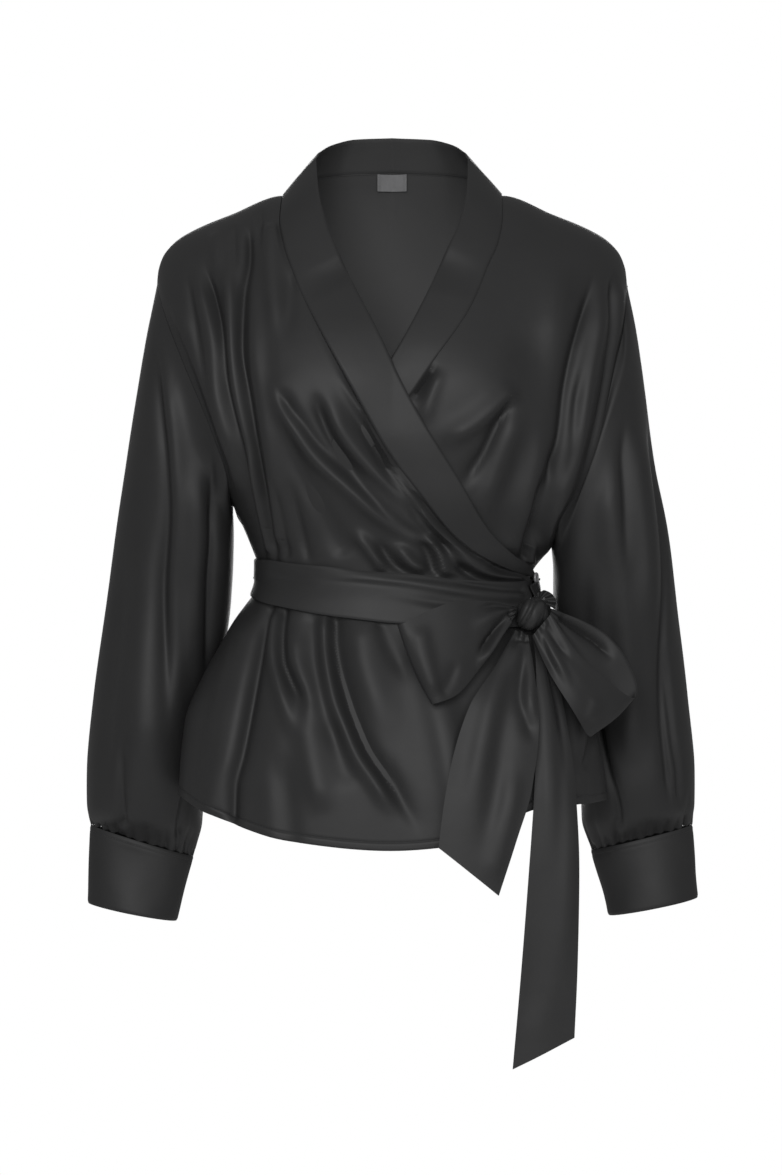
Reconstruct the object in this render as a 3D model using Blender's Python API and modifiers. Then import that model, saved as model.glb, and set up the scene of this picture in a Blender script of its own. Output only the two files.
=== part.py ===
"""A wrap top in satin, worn shape with nobody in it: one hollow shell for each cut piece.

Metres, +Z up. The wearer faces -Y, so +X is the wearer's left. The origin lies midway between
the two points where the shoulder seams meet the neckband. Each panel is an open grid laid over
a torso form, then given its wall inwards.
"""

import math
from collections import namedtuple

import bpy
import numpy as np

# ---- driving dimensions -------------------------------------------------------------------

WALL = 0.0012  # cloth wall, a little over the real satin so that it stays a solid
SEAM_GAP = 0.0022  # between the edges of two pieces that are sewn together
ARM_GAP = 0.0042  # between a sleeve and the panels at the armhole
LAYER = 0.0049  # how far the upper front lies off the lower one
TUCK = 0.0024  # how far the lower front sinks in where the upper one holds it at the waist
SASH_LIFT = 0.0098  # the sash's outer face over the lower front

NECK_X = 0.103  # half the width between the two shoulder and neck points
TIP_X = 0.221  # half the width between the two sleeve heads
TIP_Z = -0.084
BODY_POWER = 2.3  # roundness of the front half of a section, 2 being an ellipse
BUST_X, BUST_Z, BUST_SPREAD, BUST_OUT = 0.080, -0.185, 0.052, 0.010

# One level of the torso: half widths on the two sides, depths from the side seam's plane,
# where that plane is, and the roundness of the back half.
Level = namedtuple("Level", "z right left front back middle back_power")
TORSO = [
    Level(0.040, 0.221, 0.221, 0.096, 0.106, 0.000, 2.3),
    Level(-0.084, 0.221, 0.221, 0.105, 0.114, 0.000, 2.3),
    Level(-0.155, 0.214, 0.217, 0.113, 0.118, 0.000, 2.3),
    Level(-0.225, 0.194, 0.211, 0.117, 0.116, 0.000, 2.3),
    Level(-0.268, 0.166, 0.198, 0.113, 0.111, 0.000, 2.3),
    Level(-0.290, 0.150, 0.184, 0.110, 0.107, 0.000, 2.3),
    Level(-0.330, 0.132, 0.150, 0.099, 0.096, 0.000, 2.3),
    Level(-0.360, 0.1225, 0.130, 0.096, 0.092, 0.000, 2.3),
    Level(-0.385, 0.138, 0.138, 0.098, 0.095, -0.003, 2.2),
    Level(-0.451, 0.177, 0.175, 0.099, 0.120, -0.018, 1.85),
    Level(-0.493, 0.193, 0.190, 0.098, 0.138, -0.028, 1.7),
    Level(-0.560, 0.198, 0.198, 0.095, 0.155, -0.040, 1.6),
    Level(-0.620, 0.199, 0.199, 0.094, 0.160, -0.045, 1.6),
]

# The upper edge of the torso form, seen from the front: the shoulder line outside the neck.
Shoulder = namedtuple("Shoulder", "x z drop")
SHOULDER = [
    Shoulder(0.000, 0.000, 0.190),
    Shoulder(0.103, 0.000, 0.190),
    Shoulder(0.150, -0.017, 0.150),
    Shoulder(0.195, -0.037, 0.095),
    Shoulder(0.212, -0.052, 0.075),
    Shoulder(0.219, -0.068, 0.062),
    Shoulder(0.221, -0.084, 0.060),
]

# The seam of the back at the neck, from the middle out to the shoulder point.
BackNeck = namedtuple("BackNeck", "x y z power")
BACK_NECK = [
    BackNeck(0.000, 0.095, 0.034, 1.00),
    BackNeck(0.050, 0.082, 0.030, 0.95),
    BackNeck(0.074, 0.060, 0.024, 0.80),
    BackNeck(0.092, 0.030, 0.012, 0.62),
    BackNeck(0.103, 0.000, 0.000, 0.50),
]

# Armhole edges, the wearer's right (-X) and left (+X): half width at each height.
Armhole = namedtuple("Armhole", "z x")
ARMHOLE = {
    -1: [
        Armhole(-0.084, 0.2210),
        Armhole(-0.120, 0.2090),
        Armhole(-0.155, 0.1950),
        Armhole(-0.232, 0.1630),
        Armhole(-0.268, 0.1520),
        Armhole(-0.290, 0.1500),
    ],
    1: [
        Armhole(-0.084, 0.2210),
        Armhole(-0.128, 0.2150),
        Armhole(-0.164, 0.2060),
        Armhole(-0.227, 0.1920),
        Armhole(-0.268, 0.1780),
        Armhole(-0.309, 0.1540),
        Armhole(-0.330, 0.1500),
    ],
}

# The wrap: where the neckband joins each front, and the band's free edge, in front view.
# `rest` is 1 where the band lies on the chest and 0 where it stands round the neck.
Band = namedtuple("Band", "seam_x seam_z free_x free_z free_y rest")
UPPER_BAND = [
    Band(0.1205, -0.3560, 0.1250, -0.3450, 0.000, 1.0),
    Band(0.0985, -0.3470, 0.1080, -0.3350, 0.000, 1.0),
    Band(0.0683, -0.3310, 0.0850, -0.3110, 0.000, 1.0),
    Band(0.0326, -0.2915, 0.0600, -0.2690, 0.000, 1.0),
    Band(-0.0054, -0.2420, 0.0280, -0.2170, 0.000, 1.0),
    Band(-0.0290, -0.2030, 0.0070, -0.1780, 0.000, 1.0),
    Band(-0.0508, -0.1650, -0.0110, -0.1400, 0.000, 1.0),
    Band(-0.0757, -0.1155, -0.0340, -0.0930, 0.000, 1.0),
    Band(-0.0900, -0.0820, -0.0480, -0.0620, -0.076, 0.6),
    Band(-0.1000, -0.0530, -0.0590, -0.0350, -0.066, 0.2),
    Band(-0.1045, -0.0270, -0.0680, 0.0000, -0.045, 0.0),
    Band(-0.1030, 0.0000, -0.0715, 0.0340, -0.006, 0.0),
]
LOWER_BAND = [
    Band(0.1030, 0.0000, 0.0715, 0.0340, -0.006, 0.0),
    Band(0.1025, -0.0250, 0.0695, 0.0020, -0.040, 0.0),
    Band(0.0980, -0.0500, 0.0615, -0.0320, -0.064, 0.2),
    Band(0.0895, -0.0700, 0.0515, -0.0540, -0.074, 0.6),
    Band(0.0720, -0.1120, 0.0320, -0.0980, 0.000, 1.0),
    Band(0.0363, -0.1650, 0.0060, -0.1480, 0.000, 1.0),
    Band(0.0164, -0.1945, -0.0140, -0.1790, 0.000, 1.0),
    Band(-0.0300, -0.2620, -0.0600, -0.2420, 0.000, 1.0),
    Band(-0.0760, -0.3400, -0.1020, -0.3220, 0.000, 1.0),
]
# The band's free edge behind the neck, from the middle out.
BACK_BAND = [
    BackNeck(0.000, 0.062, 0.0640, 0),
    BackNeck(0.036, 0.055, 0.0610, 0),
    BackNeck(0.057, 0.036, 0.0530, 0),
    BackNeck(0.068, 0.014, 0.0430, 0),
]

# The front edges below the waist, and the hem's height over the width.
UPPER_EDGE_X = 0.124
LOWER_EDGE_X = -0.080
WRAP_END_Z = {-1: -0.362, 1: -0.352}
WAIST_Z = -0.360
Hem = namedtuple("Hem", "x front back")
HEM = [
    Hem(-0.200, -0.558, -0.558),
    Hem(-0.175, -0.570, -0.562),
    Hem(-0.090, -0.597, -0.570),
    Hem(0.000, -0.605, -0.573),
    Hem(0.060, -0.600, -0.572),
    Hem(0.132, -0.568, -0.569),
    Hem(0.200, -0.564, -0.564),
]

# Sleeve rings from below the armhole to the cuff: the outer and inner ends of each ring in
# front view, its middle depth and its half depth. The armhole itself is the first ring.
Ring = namedtuple("Ring", "outer_x outer_z inner_x inner_z middle_y half_depth")
SLEEVE = {
    -1: [
        Ring(0.2316, -0.135, 0.1490, -0.318, 0.003, 0.060),
        Ring(0.2406, -0.190, 0.1495, -0.345, 0.008, 0.062),
        Ring(0.2508, -0.255, 0.1515, -0.375, 0.016, 0.062),
        Ring(0.2614, -0.320, 0.1560, -0.410, 0.026, 0.060),
        Ring(0.2715, -0.390, 0.1650, -0.452, 0.037, 0.057),
        Ring(0.2822, -0.470, 0.1750, -0.505, 0.046, 0.053),
        Ring(0.2898, -0.540, 0.1800, -0.560, 0.050, 0.050),
        Ring(0.2910, -0.573, 0.1810, -0.592, 0.050, 0.043),
        Ring(0.2880, -0.594, 0.1890, -0.624, 0.048, 0.024),
    ],
    1: [
        Ring(0.2296, -0.135, 0.1515, -0.348, 0.003, 0.060),
        Ring(0.2386, -0.190, 0.1520, -0.366, 0.008, 0.062),
        Ring(0.2488, -0.255, 0.1525, -0.388, 0.016, 0.062),
        Ring(0.2594, -0.320, 0.1570, -0.416, 0.026, 0.060),
        Ring(0.2695, -0.390, 0.1650, -0.454, 0.037, 0.057),
        Ring(0.2804, -0.470, 0.1750, -0.505, 0.046, 0.053),
        Ring(0.2885, -0.540, 0.1800, -0.556, 0.050, 0.050),
        Ring(0.2895, -0.573, 0.1810, -0.588, 0.050, 0.043),
        Ring(0.2868, -0.594, 0.1893, -0.618, 0.048, 0.024),
    ],
}
CUFF = {
    -1: [
        Ring(0.2884, -0.5962, 0.1896, -0.6262, 0.048, 0.023),
        Ring(0.2895, -0.6300, 0.1975, -0.6550, 0.048, 0.026),
        Ring(0.2910, -0.6684, 0.2050, -0.6857, 0.048, 0.029),
    ],
    1: [
        Ring(0.2872, -0.5962, 0.1898, -0.6202, 0.048, 0.023),
        Ring(0.2890, -0.6280, 0.1985, -0.6500, 0.048, 0.026),
        Ring(0.2919, -0.6633, 0.2057, -0.6806, 0.048, 0.029),
    ],
}

# Large folds of the fronts and back in front view: a bend through three points, how wide
# and how high its ridge stands, and how fast it dies out at its two ends.
Fold = namedtuple("Fold", "x0 z0 x1 z1 x2 z2 width height fade0 fade1")
UPPER_FOLDS = [
    Fold(-0.148, -0.034, -0.154, -0.180, -0.124, -0.340, 0.013, 0.0055, 0.20, 0.15),
    Fold(-0.184, -0.062, -0.176, -0.190, -0.128, -0.330, 0.014, 0.0050, 0.25, 0.15),
    Fold(-0.118, -0.050, -0.126, -0.180, -0.104, -0.345, 0.012, 0.0040, 0.30, 0.20),
    Fold(-0.100, -0.180, -0.078, -0.270, 0.030, -0.350, 0.014, 0.0060, 0.35, 0.20),
    Fold(-0.066, -0.168, -0.036, -0.260, 0.075, -0.352, 0.014, 0.0065, 0.35, 0.20),
    Fold(-0.040, -0.230, 0.010, -0.310, 0.095, -0.356, 0.010, 0.0050, 0.35, 0.20),
    Fold(-0.122, -0.385, -0.148, -0.470, -0.162, -0.575, 0.015, 0.0060, 0.25, 0.00),
    Fold(-0.096, -0.385, -0.112, -0.430, -0.070, -0.490, 0.011, 0.0055, 0.25, 0.50),
    Fold(-0.056, -0.394, -0.052, -0.480, 0.024, -0.600, 0.014, 0.0070, 0.25, 0.00),
    Fold(-0.012, -0.402, 0.010, -0.480, 0.062, -0.600, 0.016, 0.0050, 0.30, 0.00),
    Fold(-0.098, -0.470, -0.092, -0.540, -0.086, -0.600, 0.018, 0.0045, 0.60, 0.00),
]
LOWER_FOLDS = [
    Fold(0.193, -0.085, 0.185, -0.230, 0.126, -0.352, 0.012, 0.0050, 0.25, 0.15),
    Fold(0.160, -0.120, 0.160, -0.250, 0.120, -0.352, 0.012, 0.0050, 0.45, 0.15),
    Fold(0.108, -0.186, 0.092, -0.222, 0.078, -0.246, 0.012, 0.0050, 0.40, 0.40),
    Fold(0.160, -0.400, 0.176, -0.480, 0.176, -0.565, 0.014, 0.0050, 0.30, 0.00),
]
BACK_FOLDS = [
    Fold(-0.150, -0.060, -0.150, -0.200, -0.104, -0.340, 0.014, 0.0050, 0.35, 0.20),
    Fold(0.156, -0.070, 0.160, -0.200, 0.104, -0.344, 0.014, 0.0050, 0.35, 0.20),
    Fold(-0.085, -0.230, -0.070, -0.290, -0.066, -0.336, 0.013, 0.0045, 0.50, 0.20),
    Fold(0.060, -0.220, 0.052, -0.280, 0.056, -0.336, 0.013, 0.0045, 0.50, 0.20),
    Fold(-0.010, -0.250, -0.006, -0.300, -0.012, -0.336, 0.012, 0.0040, 0.50, 0.20),
    Fold(-0.100, -0.380, -0.126, -0.460, -0.140, -0.566, 0.016, 0.0065, 0.25, 0.00),
    Fold(-0.052, -0.380, -0.068, -0.460, -0.078, -0.572, 0.017, 0.0070, 0.25, 0.00),
    Fold(0.004, -0.380, 0.000, -0.460, -0.010, -0.575, 0.016, 0.0060, 0.25, 0.00),
    Fold(0.056, -0.382, 0.066, -0.460, 0.070, -0.574, 0.017, 0.0070, 0.25, 0.00),
    Fold(0.102, -0.384, 0.128, -0.460, 0.140, -0.570, 0.016, 0.0060, 0.25, 0.00),
]
# Lengthwise folds of a sleeve: the angle round it (0 outside, 90 in front), their spread in
# degrees, their height and where along the sleeve they stand fullest (0 head, 1 cuff).
SleeveFold = namedtuple("SleeveFold", "angle spread height fullest")
SLEEVE_FOLDS = [
    SleeveFold(30, 13, 0.0050, 0.80),
    SleeveFold(75, 12, 0.0045, 0.70),
    SleeveFold(118, 12, 0.0050, 0.85),
    SleeveFold(155, 12, 0.0035, 0.80),
    SleeveFold(225, 13, 0.0040, 0.80),
    SleeveFold(265, 12, 0.0045, 0.70),
    SleeveFold(315, 13, 0.0050, 0.85),
]

# The sash round the waist: a turn round the body in degrees from the front towards +X, the
# height of its middle and its width there.
SashStation = namedtuple("SashStation", "turn z width")
SASH = [
    SashStation(44, -0.390, 0.032),
    SashStation(36, -0.388, 0.039),
    SashStation(20, -0.383, 0.046),
    SashStation(0, -0.378, 0.048),
    SashStation(-35, -0.368, 0.046),
    SashStation(-90, -0.357, 0.037),
    SashStation(-135, -0.357, 0.044),
    SashStation(-180, -0.360, 0.047),
    SashStation(-225, -0.366, 0.046),
    SashStation(-262, -0.378, 0.038),
    SashStation(-294, -0.389, 0.028),
]
KNOT_CENTRE = (0.1285, -0.0870, -0.3900)
KNOT_SIZE = (0.0300, 0.0260, 0.0370)

# The bow: each strip runs through sections with one point on each of its two edges.
Strip = namedtuple("Strip", "ax ay az bx by bz")
BOW_RIGHT_LOOP = [
    Strip(0.1110, -0.0960, -0.3850, 0.1115, -0.0985, -0.3940),
    Strip(0.0900, -0.1120, -0.3800, 0.0960, -0.1130, -0.4160),
    Strip(0.0620, -0.1270, -0.3800, 0.0770, -0.1270, -0.4440),
    Strip(0.0300, -0.1390, -0.3900, 0.0560, -0.1390, -0.4660),
    Strip(0.0080, -0.1440, -0.4010, 0.0390, -0.1460, -0.4720),
    Strip(0.0030, -0.1380, -0.4020, 0.0350, -0.1420, -0.4730),
    Strip(0.0090, -0.1290, -0.4010, 0.0400, -0.1370, -0.4710),
    Strip(0.0400, -0.1220, -0.3900, 0.0620, -0.1300, -0.4570),
    Strip(0.0700, -0.1120, -0.3830, 0.0820, -0.1180, -0.4330),
    Strip(0.0950, -0.1010, -0.3830, 0.1000, -0.1060, -0.4080),
    Strip(0.1115, -0.0900, -0.3860, 0.1120, -0.0920, -0.3940),
]
BOW_LEFT_LOOP = [
    Strip(0.1450, -0.0950, -0.3920, 0.1275, -0.1040, -0.4120),
    Strip(0.1580, -0.1000, -0.4130, 0.1420, -0.1110, -0.4440),
    Strip(0.1740, -0.1010, -0.4330, 0.1590, -0.1140, -0.4720),
    Strip(0.1950, -0.0950, -0.4510, 0.1700, -0.1100, -0.4900),
    Strip(0.2170, -0.0840, -0.4680, 0.1790, -0.1000, -0.5030),
    Strip(0.2230, -0.0760, -0.4700, 0.1830, -0.0940, -0.5050),
    Strip(0.2260, -0.0660, -0.4620, 0.1820, -0.0880, -0.4980),
    Strip(0.2180, -0.0610, -0.4380, 0.1760, -0.0840, -0.4700),
    Strip(0.1980, -0.0620, -0.4110, 0.1660, -0.0800, -0.4380),
    Strip(0.1700, -0.0680, -0.3960, 0.1540, -0.0780, -0.4120),
    Strip(0.1460, -0.0780, -0.3870, 0.1450, -0.0800, -0.3940),
]
SHORT_TAIL = [
    Strip(0.1120, -0.0950, -0.4080, 0.1240, -0.0980, -0.4120),
    Strip(0.0930, -0.1190, -0.4400, 0.1260, -0.1120, -0.4480),
    Strip(0.0700, -0.1360, -0.4740, 0.1265, -0.1250, -0.4880),
    Strip(0.0530, -0.1460, -0.5270, 0.1220, -0.1390, -0.5460),
    Strip(0.0460, -0.1510, -0.5650, 0.1120, -0.1480, -0.5940),
    Strip(0.0415, -0.1540, -0.6010, 0.0955, -0.1530, -0.6440),
]
LONG_TAIL = [
    Strip(0.1280, -0.0880, -0.4130, 0.1380, -0.0850, -0.4110),
    Strip(0.1300, -0.1010, -0.4400, 0.1480, -0.0900, -0.4400),
    Strip(0.1310, -0.1150, -0.4880, 0.1590, -0.1030, -0.4900),
    Strip(0.1285, -0.1270, -0.5510, 0.1660, -0.1170, -0.5540),
    Strip(0.1235, -0.1320, -0.6210, 0.1690, -0.1250, -0.6210),
    Strip(0.1170, -0.1340, -0.7050, 0.1675, -0.1290, -0.7050),
    Strip(0.1085, -0.1350, -0.8020, 0.1645, -0.1310, -0.7740),
]

LABEL_WIDTH, LABEL_HEIGHT, LABEL_WALL = 0.028, 0.016, 0.0006
LABEL_TOP, LABEL_GAP = 0.031, 0.0032
BUTTON_RADIUS, BUTTON_THICK = 0.0050, 0.0026
BUTTON_X, BUTTON_Z, BUTTON_LIFT = 0.1255, -0.3565, 0.0092  # at the wearer's left, over the sash

# Columns: across each front, and on the back's shoulder and neck. Rows: those down the
# armhole, down the side seam to the waist, and on down to the hem.
ARM_ROWS = 10
COLUMNS = {"back": (5, 10), "upper": 15, "lower": 13}
ROWS = {"back": (ARM_ROWS, 3, 8), "upper": (ARM_ROWS, 6, 9), "lower": (ARM_ROWS, 5, 9)}
LEVELLING = 3  # how soon a panel's rows lose the slope of the shoulder
WAIST_CROWDING = 1.35  # how much closer together the rows lie just under the waist
FOLD_REACH = 0.022  # how far from a seam the folds stand at their full height
SLEEVE_ROWS, SLEEVE_SIDES = 12, 2 * ARM_ROWS
BAND_COLUMNS = 3
SASH_COLUMNS, SASH_ROWS = 40, 2
STRIP_ROWS, STRIP_COLUMNS = 14, 3


# ---- curves and the torso form ---------------------------------------------------------------


def smooth(knots, values, at):
    """Values at `at` on a curve through the knots that never swings past them."""
    knots, values = np.asarray(knots, float), np.asarray(values, float)
    if knots[0] > knots[-1]:
        knots, values = knots[::-1], values[::-1]
    shape = (-1,) + (1,) * (values.ndim - 1)
    width = np.diff(knots).reshape(shape)
    rise = np.diff(values, axis=0) / width
    before, after = rise[:-1], rise[1:]
    same_way = before * after > 0
    total = np.where(same_way, before + after, 1.0)
    middle = np.where(same_way, 2.0 * before * after / total, 0.0)
    slope = np.concatenate([rise[:1], middle, rise[-1:]])
    at = np.clip(np.asarray(at, float), knots[0], knots[-1])
    cell = np.clip(np.searchsorted(knots, at, side="right") - 1, 0, len(knots) - 2)
    extra = (1,) * (values.ndim - 1)
    t = ((at - knots[cell]) / np.diff(knots)[cell]).reshape(at.shape + extra)
    step = np.diff(knots)[cell].reshape(at.shape + extra)
    low, high = values[cell], values[cell + 1]
    return (
        low * (1 + 2 * t) * (1 - t) ** 2
        + high * t * t * (3 - 2 * t)
        + slope[cell] * step * t * (1 - t) ** 2
        - slope[cell + 1] * step * t * t * (1 - t)
    )


def column(table, name):
    return [getattr(row, name) for row in table]


def table_at(table, by, name, at):
    return smooth(column(table, by), column(table, name), at)


def ramp(value, start, end):
    t = np.clip((np.asarray(value, float) - start) / (end - start), 0.0, 1.0)
    return t * t * (3 - 2 * t)


def half_width(z, side):
    """Half width of the torso form; side is -1 at the wearer's right and 1 at the left."""
    right, left = table_at(TORSO, "z", "right", z), table_at(TORSO, "z", "left", z)
    return np.where(np.asarray(side) < 0, right, left)


def shoulder_z(x, face):
    """Height of the torso form's upper edge: the shoulder, and behind the neck its seam."""
    reach = np.abs(x)
    line = table_at(SHOULDER, "x", "z", reach)
    if face < 0:
        return line
    return np.where(reach < NECK_X, table_at(BACK_NECK, "x", "z", reach), line)


def torso_y(x, z, face):
    """Depth of the torso form at a place in front view; face is -1 in front, 1 behind."""
    x, z = np.broadcast_arrays(np.asarray(x, float), np.asarray(z, float))
    reach = np.abs(x)
    share = np.clip(reach / half_width(z, x), 0.0, 1.0)
    if face < 0:
        power = np.full(z.shape, BODY_POWER)
        depth = table_at(TORSO, "z", "front", z)
        lean, rounding = np.zeros(z.shape), np.full(z.shape, 0.5)
    else:
        power = table_at(TORSO, "z", "back_power", z)
        depth = table_at(TORSO, "z", "back", z)
        inside = reach < NECK_X
        lean = np.where(inside, table_at(BACK_NECK, "x", "y", reach), 0.0)
        rounding = np.where(inside, table_at(BACK_NECK, "x", "power", reach), 0.5)
    full = depth * (1 - share**power) ** (1 / power)
    below = (shoulder_z(x, face) - z) / table_at(SHOULDER, "x", "drop", reach)
    filled = (1 - (1 - np.clip(below, 0.0, 1.0)) ** 2) ** rounding
    out = lean + (full - lean) * filled
    if face < 0:
        far = ((reach - BUST_X) ** 2 + (z - BUST_Z) ** 2) / BUST_SPREAD**2
        out = out + BUST_OUT * np.exp(-far)
    return table_at(TORSO, "z", "middle", z) + face * out


def on_form(x, z, face, lift):
    """Points lifted off the torso form at places in front view, straight out of its surface."""
    step = 1e-4
    beside = x - np.where(x < 0, -step, step)
    y = torso_y(x, z, face)
    slope_x = (y - torso_y(beside, z, face)) / (x - beside)
    slope_z = (torso_y(x, z + step, face) - torso_y(x, z - step, face)) / (2 * step)
    normal = np.stack([-slope_x, np.ones(y.shape), -slope_z], axis=-1) * face
    normal /= np.linalg.norm(normal, axis=-1, keepdims=True)
    return np.stack([x, y, z], axis=-1) + normal * lift[..., None]


def outward(grid):
    """Unit normals of a grid of points, turned to the side of rows x columns."""
    down, across = np.gradient(grid, axis=0), np.gradient(grid, axis=1)
    normal = np.cross(across, down)
    return normal / np.maximum(np.linalg.norm(normal, axis=-1, keepdims=True), 1e-12)


def fold_height(x, z, folds):
    """How far the folds lift the cloth at each place in front view."""
    lift = np.zeros(x.shape)
    steps = np.linspace(0, 1, 25)
    for fold in folds:
        bend_x = (
            (1 - steps) ** 2 * fold.x0 + 2 * steps * (1 - steps) * fold.x1 + steps**2 * fold.x2
        )
        bend_z = (
            (1 - steps) ** 2 * fold.z0 + 2 * steps * (1 - steps) * fold.z1 + steps**2 * fold.z2
        )
        far = (x[..., None] - bend_x) ** 2 + (z[..., None] - bend_z) ** 2
        nearest = far.argmin(axis=-1)
        along = steps[nearest]
        alive = np.ones(x.shape)
        if fold.fade0:
            alive = alive * ramp(along, 0.0, fold.fade0)
        if fold.fade1:
            alive = alive * ramp(along, 1.0, 1.0 - fold.fade1)
        lift += fold.height * alive * np.exp(-far.min(axis=-1) / fold.width**2)
    return lift


# ---- meshes ------------------------------------------------------------------------------


def clear_scene():
    for item in list(bpy.data.objects):
        bpy.data.objects.remove(item, do_unlink=True)


def cloth_material(name, colour, roughness, metallic=0.0):
    material = bpy.data.materials.new(name)
    material.use_nodes = True
    shader = material.node_tree.nodes["Principled BSDF"]
    shader.inputs["Base Color"].default_value = (*colour, 1.0)
    shader.inputs["Roughness"].default_value = roughness
    shader.inputs["Metallic"].default_value = metallic
    return material


def add_object(name, mesh, collection, material):
    piece = bpy.data.objects.new(name, mesh)
    collection.objects.link(piece)
    mesh.materials.append(material)
    mesh.shade_smooth()
    mesh.set_sharp_from_angle(angle=math.radians(50))
    return piece


def sheet(name, grid, collection, material, wall=WALL, tube=False, offset=-1.0):
    """A wall on a grid of points whose rows run down and whose columns run to its right."""
    rows, columns = grid.shape[:2]
    faces = []
    for row in range(rows - 1):
        for place in range(columns if tube else columns - 1):
            beside = (place + 1) % columns
            faces.append(
                (
                    row * columns + place,
                    (row + 1) * columns + place,
                    (row + 1) * columns + beside,
                    row * columns + beside,
                )
            )
    mesh = bpy.data.meshes.new(name)
    mesh.from_pydata([tuple(point) for point in grid.reshape(-1, 3)], [], faces)
    piece = add_object(name, mesh, collection, material)
    solid = piece.modifiers.new("Wall", "SOLIDIFY")
    solid.thickness = wall
    solid.offset = offset
    solid.use_even_offset = False
    return piece


# ---- panels ------------------------------------------------------------------------------

# A panel is a patch between four edges. Along its rows a place is kept as a turn round the
# section, so that rows crowd together where the cloth goes round the side.


def turn_of(x, z):
    share = np.clip(np.abs(x) / half_width(z, x), 0.0, 1.0)
    return np.sign(x) * np.arcsin(share ** (BODY_POWER / 2))


def x_of(turn, z):
    return half_width(z, turn) * np.sign(turn) * np.abs(np.sin(turn)) ** (2 / BODY_POWER)


def along(points, count, crowding=1.0):
    """Points spaced along a line, closer together at its start for a crowding over 1."""
    points = np.asarray(points, float)
    lengths = np.concatenate([[0], np.cumsum(np.linalg.norm(np.diff(points, axis=0), axis=1))])
    at = lengths[-1] * np.linspace(0, 1, count + 1) ** crowding
    return np.stack([np.interp(at, lengths, points[:, 0]), np.interp(at, lengths, points[:, 1])], 1)


def shoulder_line(side, face):
    x = side * np.linspace(TIP_X, NECK_X, 60)
    return np.stack([x, shoulder_z(x, face)], axis=1)


def band_line(table, end_x, end_z):
    """The neckband's seam on a front, from the shoulder down, on to the end of the wrap."""
    rows = sorted(table, key=lambda row: -row.seam_z)
    heights = column(rows, "seam_z") + [end_z]
    z = np.linspace(heights[0], heights[-1], 120)
    return np.stack([smooth(heights, column(rows, "seam_x") + [end_x], z), z], axis=1)


def armhole_edge(side, turns):
    """x and z of the armhole at turns round it: 0 over the head, half a turn underneath."""
    z = TIP_Z + (ARMHOLE[side][-1].z - TIP_Z) * (1 - np.cos(turns)) / 2
    return np.stack([side * table_at(ARMHOLE[side], "z", "x", z), z], axis=-1)


def outer_edge(side, rows, hem):
    """The armhole's edge, then the side seam to the waist and on down to the hem."""
    stretches = [armhole_edge(side, np.linspace(0, np.pi, rows[0] + 1))]
    pit = stretches[0][-1, 1]
    for start, end, count, crowding in (
        (pit, WAIST_Z, rows[1], 1.0),
        (WAIST_Z, hem, rows[2], WAIST_CROWDING),
    ):
        z = np.linspace(start, end, 60)
        line = np.stack([side * half_width(z, side), z], axis=1)
        stretches.append(along(line, count, crowding)[1:])
    return np.concatenate(stretches)


def hem_line(start_x, end_x, part, count):
    turns = np.linspace(turn_of(start_x, HEM[0].front), turn_of(end_x, HEM[0].front), count + 1)
    x = x_of(turns, np.full(count + 1, HEM[0].front))
    return np.stack([x, table_at(HEM, "x", part, x)], axis=1)


def patch(top, bottom, outer, inner):
    """x and z of the points between four edges, whose rows leave the two sides level."""
    edges = [np.stack([turn_of(e[:, 0], e[:, 1]), e[:, 1]], axis=1) for e in (top, bottom, outer, inner)]
    top, bottom, outer, inner = edges
    down = 1 - (1 - np.linspace(0, 1, len(outer))[:, None, None]) ** LEVELLING
    across = ramp(np.linspace(0, 1, len(top)), 0.0, 1.0)[None, :, None]
    grid = (1 - down) * top[None] + down * bottom[None]
    corners = (1 - down) * top[[0, -1]][None] + down * bottom[[0, -1]][None]
    grid = grid + (1 - across) * (outer[:, None] - corners[:, :1])
    grid = grid + across * (inner[:, None] - corners[:, 1:])
    return x_of(grid[..., 0], grid[..., 1]), grid[..., 1]


def front_patch(side, table, edge_x, columns, rows):
    """One front: its inner edge is the neckband's seam and then the edge below the waist."""
    top = along(shoulder_line(side, -1), columns)
    wrap = along(band_line(table, edge_x, WRAP_END_Z[side]), rows[0] + rows[1])
    hem_x = side * float(half_width(HEM[0].front, side))
    bottom = hem_line(hem_x, edge_x, "front", columns)
    outer = outer_edge(side, rows, float(bottom[0, 1]))
    inner = np.concatenate([wrap, along([wrap[-1], bottom[-1]], rows[2], WAIST_CROWDING)[1:]])
    return patch(top, bottom, outer, inner)


def edge_fade(grid, edges, reach):
    """0 on the given edges of a panel, rising to 1 at `reach` from them."""
    near = np.full(grid.shape[:2], np.inf)
    for edge in edges:
        fine = np.concatenate([a + (b - a) * np.linspace(0, 1, 6)[:, None] for a, b in zip(edge, edge[1:])])
        far = np.linalg.norm(grid[:, :, None] - fine[None, None], axis=-1).min(axis=-1)
        near = np.minimum(near, far)
    return ramp(near, 0.0, reach)


def upper_lift(x, z):
    """How far the upper front lies off the torso form: more where it covers the lower one."""
    return LAYER * ramp(z, -0.070, -0.140) * ramp(x, -0.132, -0.098)


def front_grid(side, table, edge_x, name, folds, lift):
    x, z = front_patch(side, table, edge_x, COLUMNS[name], ROWS[name])
    flat = on_form(x, z, -1, lift(x, z))
    arm, waist = ROWS[name][0], sum(ROWS[name][:2])
    sewn = [flat[0], flat[:, 0], flat[: waist + 1, -1]]
    folded = fold_height(x, z, folds) * edge_fade(flat, sewn, FOLD_REACH)
    grid = on_form(x, z, -1, lift(x, z) + folded)
    grid[0, :, 1] -= SEAM_GAP / 2
    grid[arm:, 0, 1] -= SEAM_GAP / 2
    return grid if side < 0 else grid[:, ::-1]


def upper_front(collection, material):
    grid = front_grid(-1, UPPER_BAND, UPPER_EDGE_X, "upper", UPPER_FOLDS, upper_lift)
    sheet("front_upper", grid, collection, material)


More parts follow.
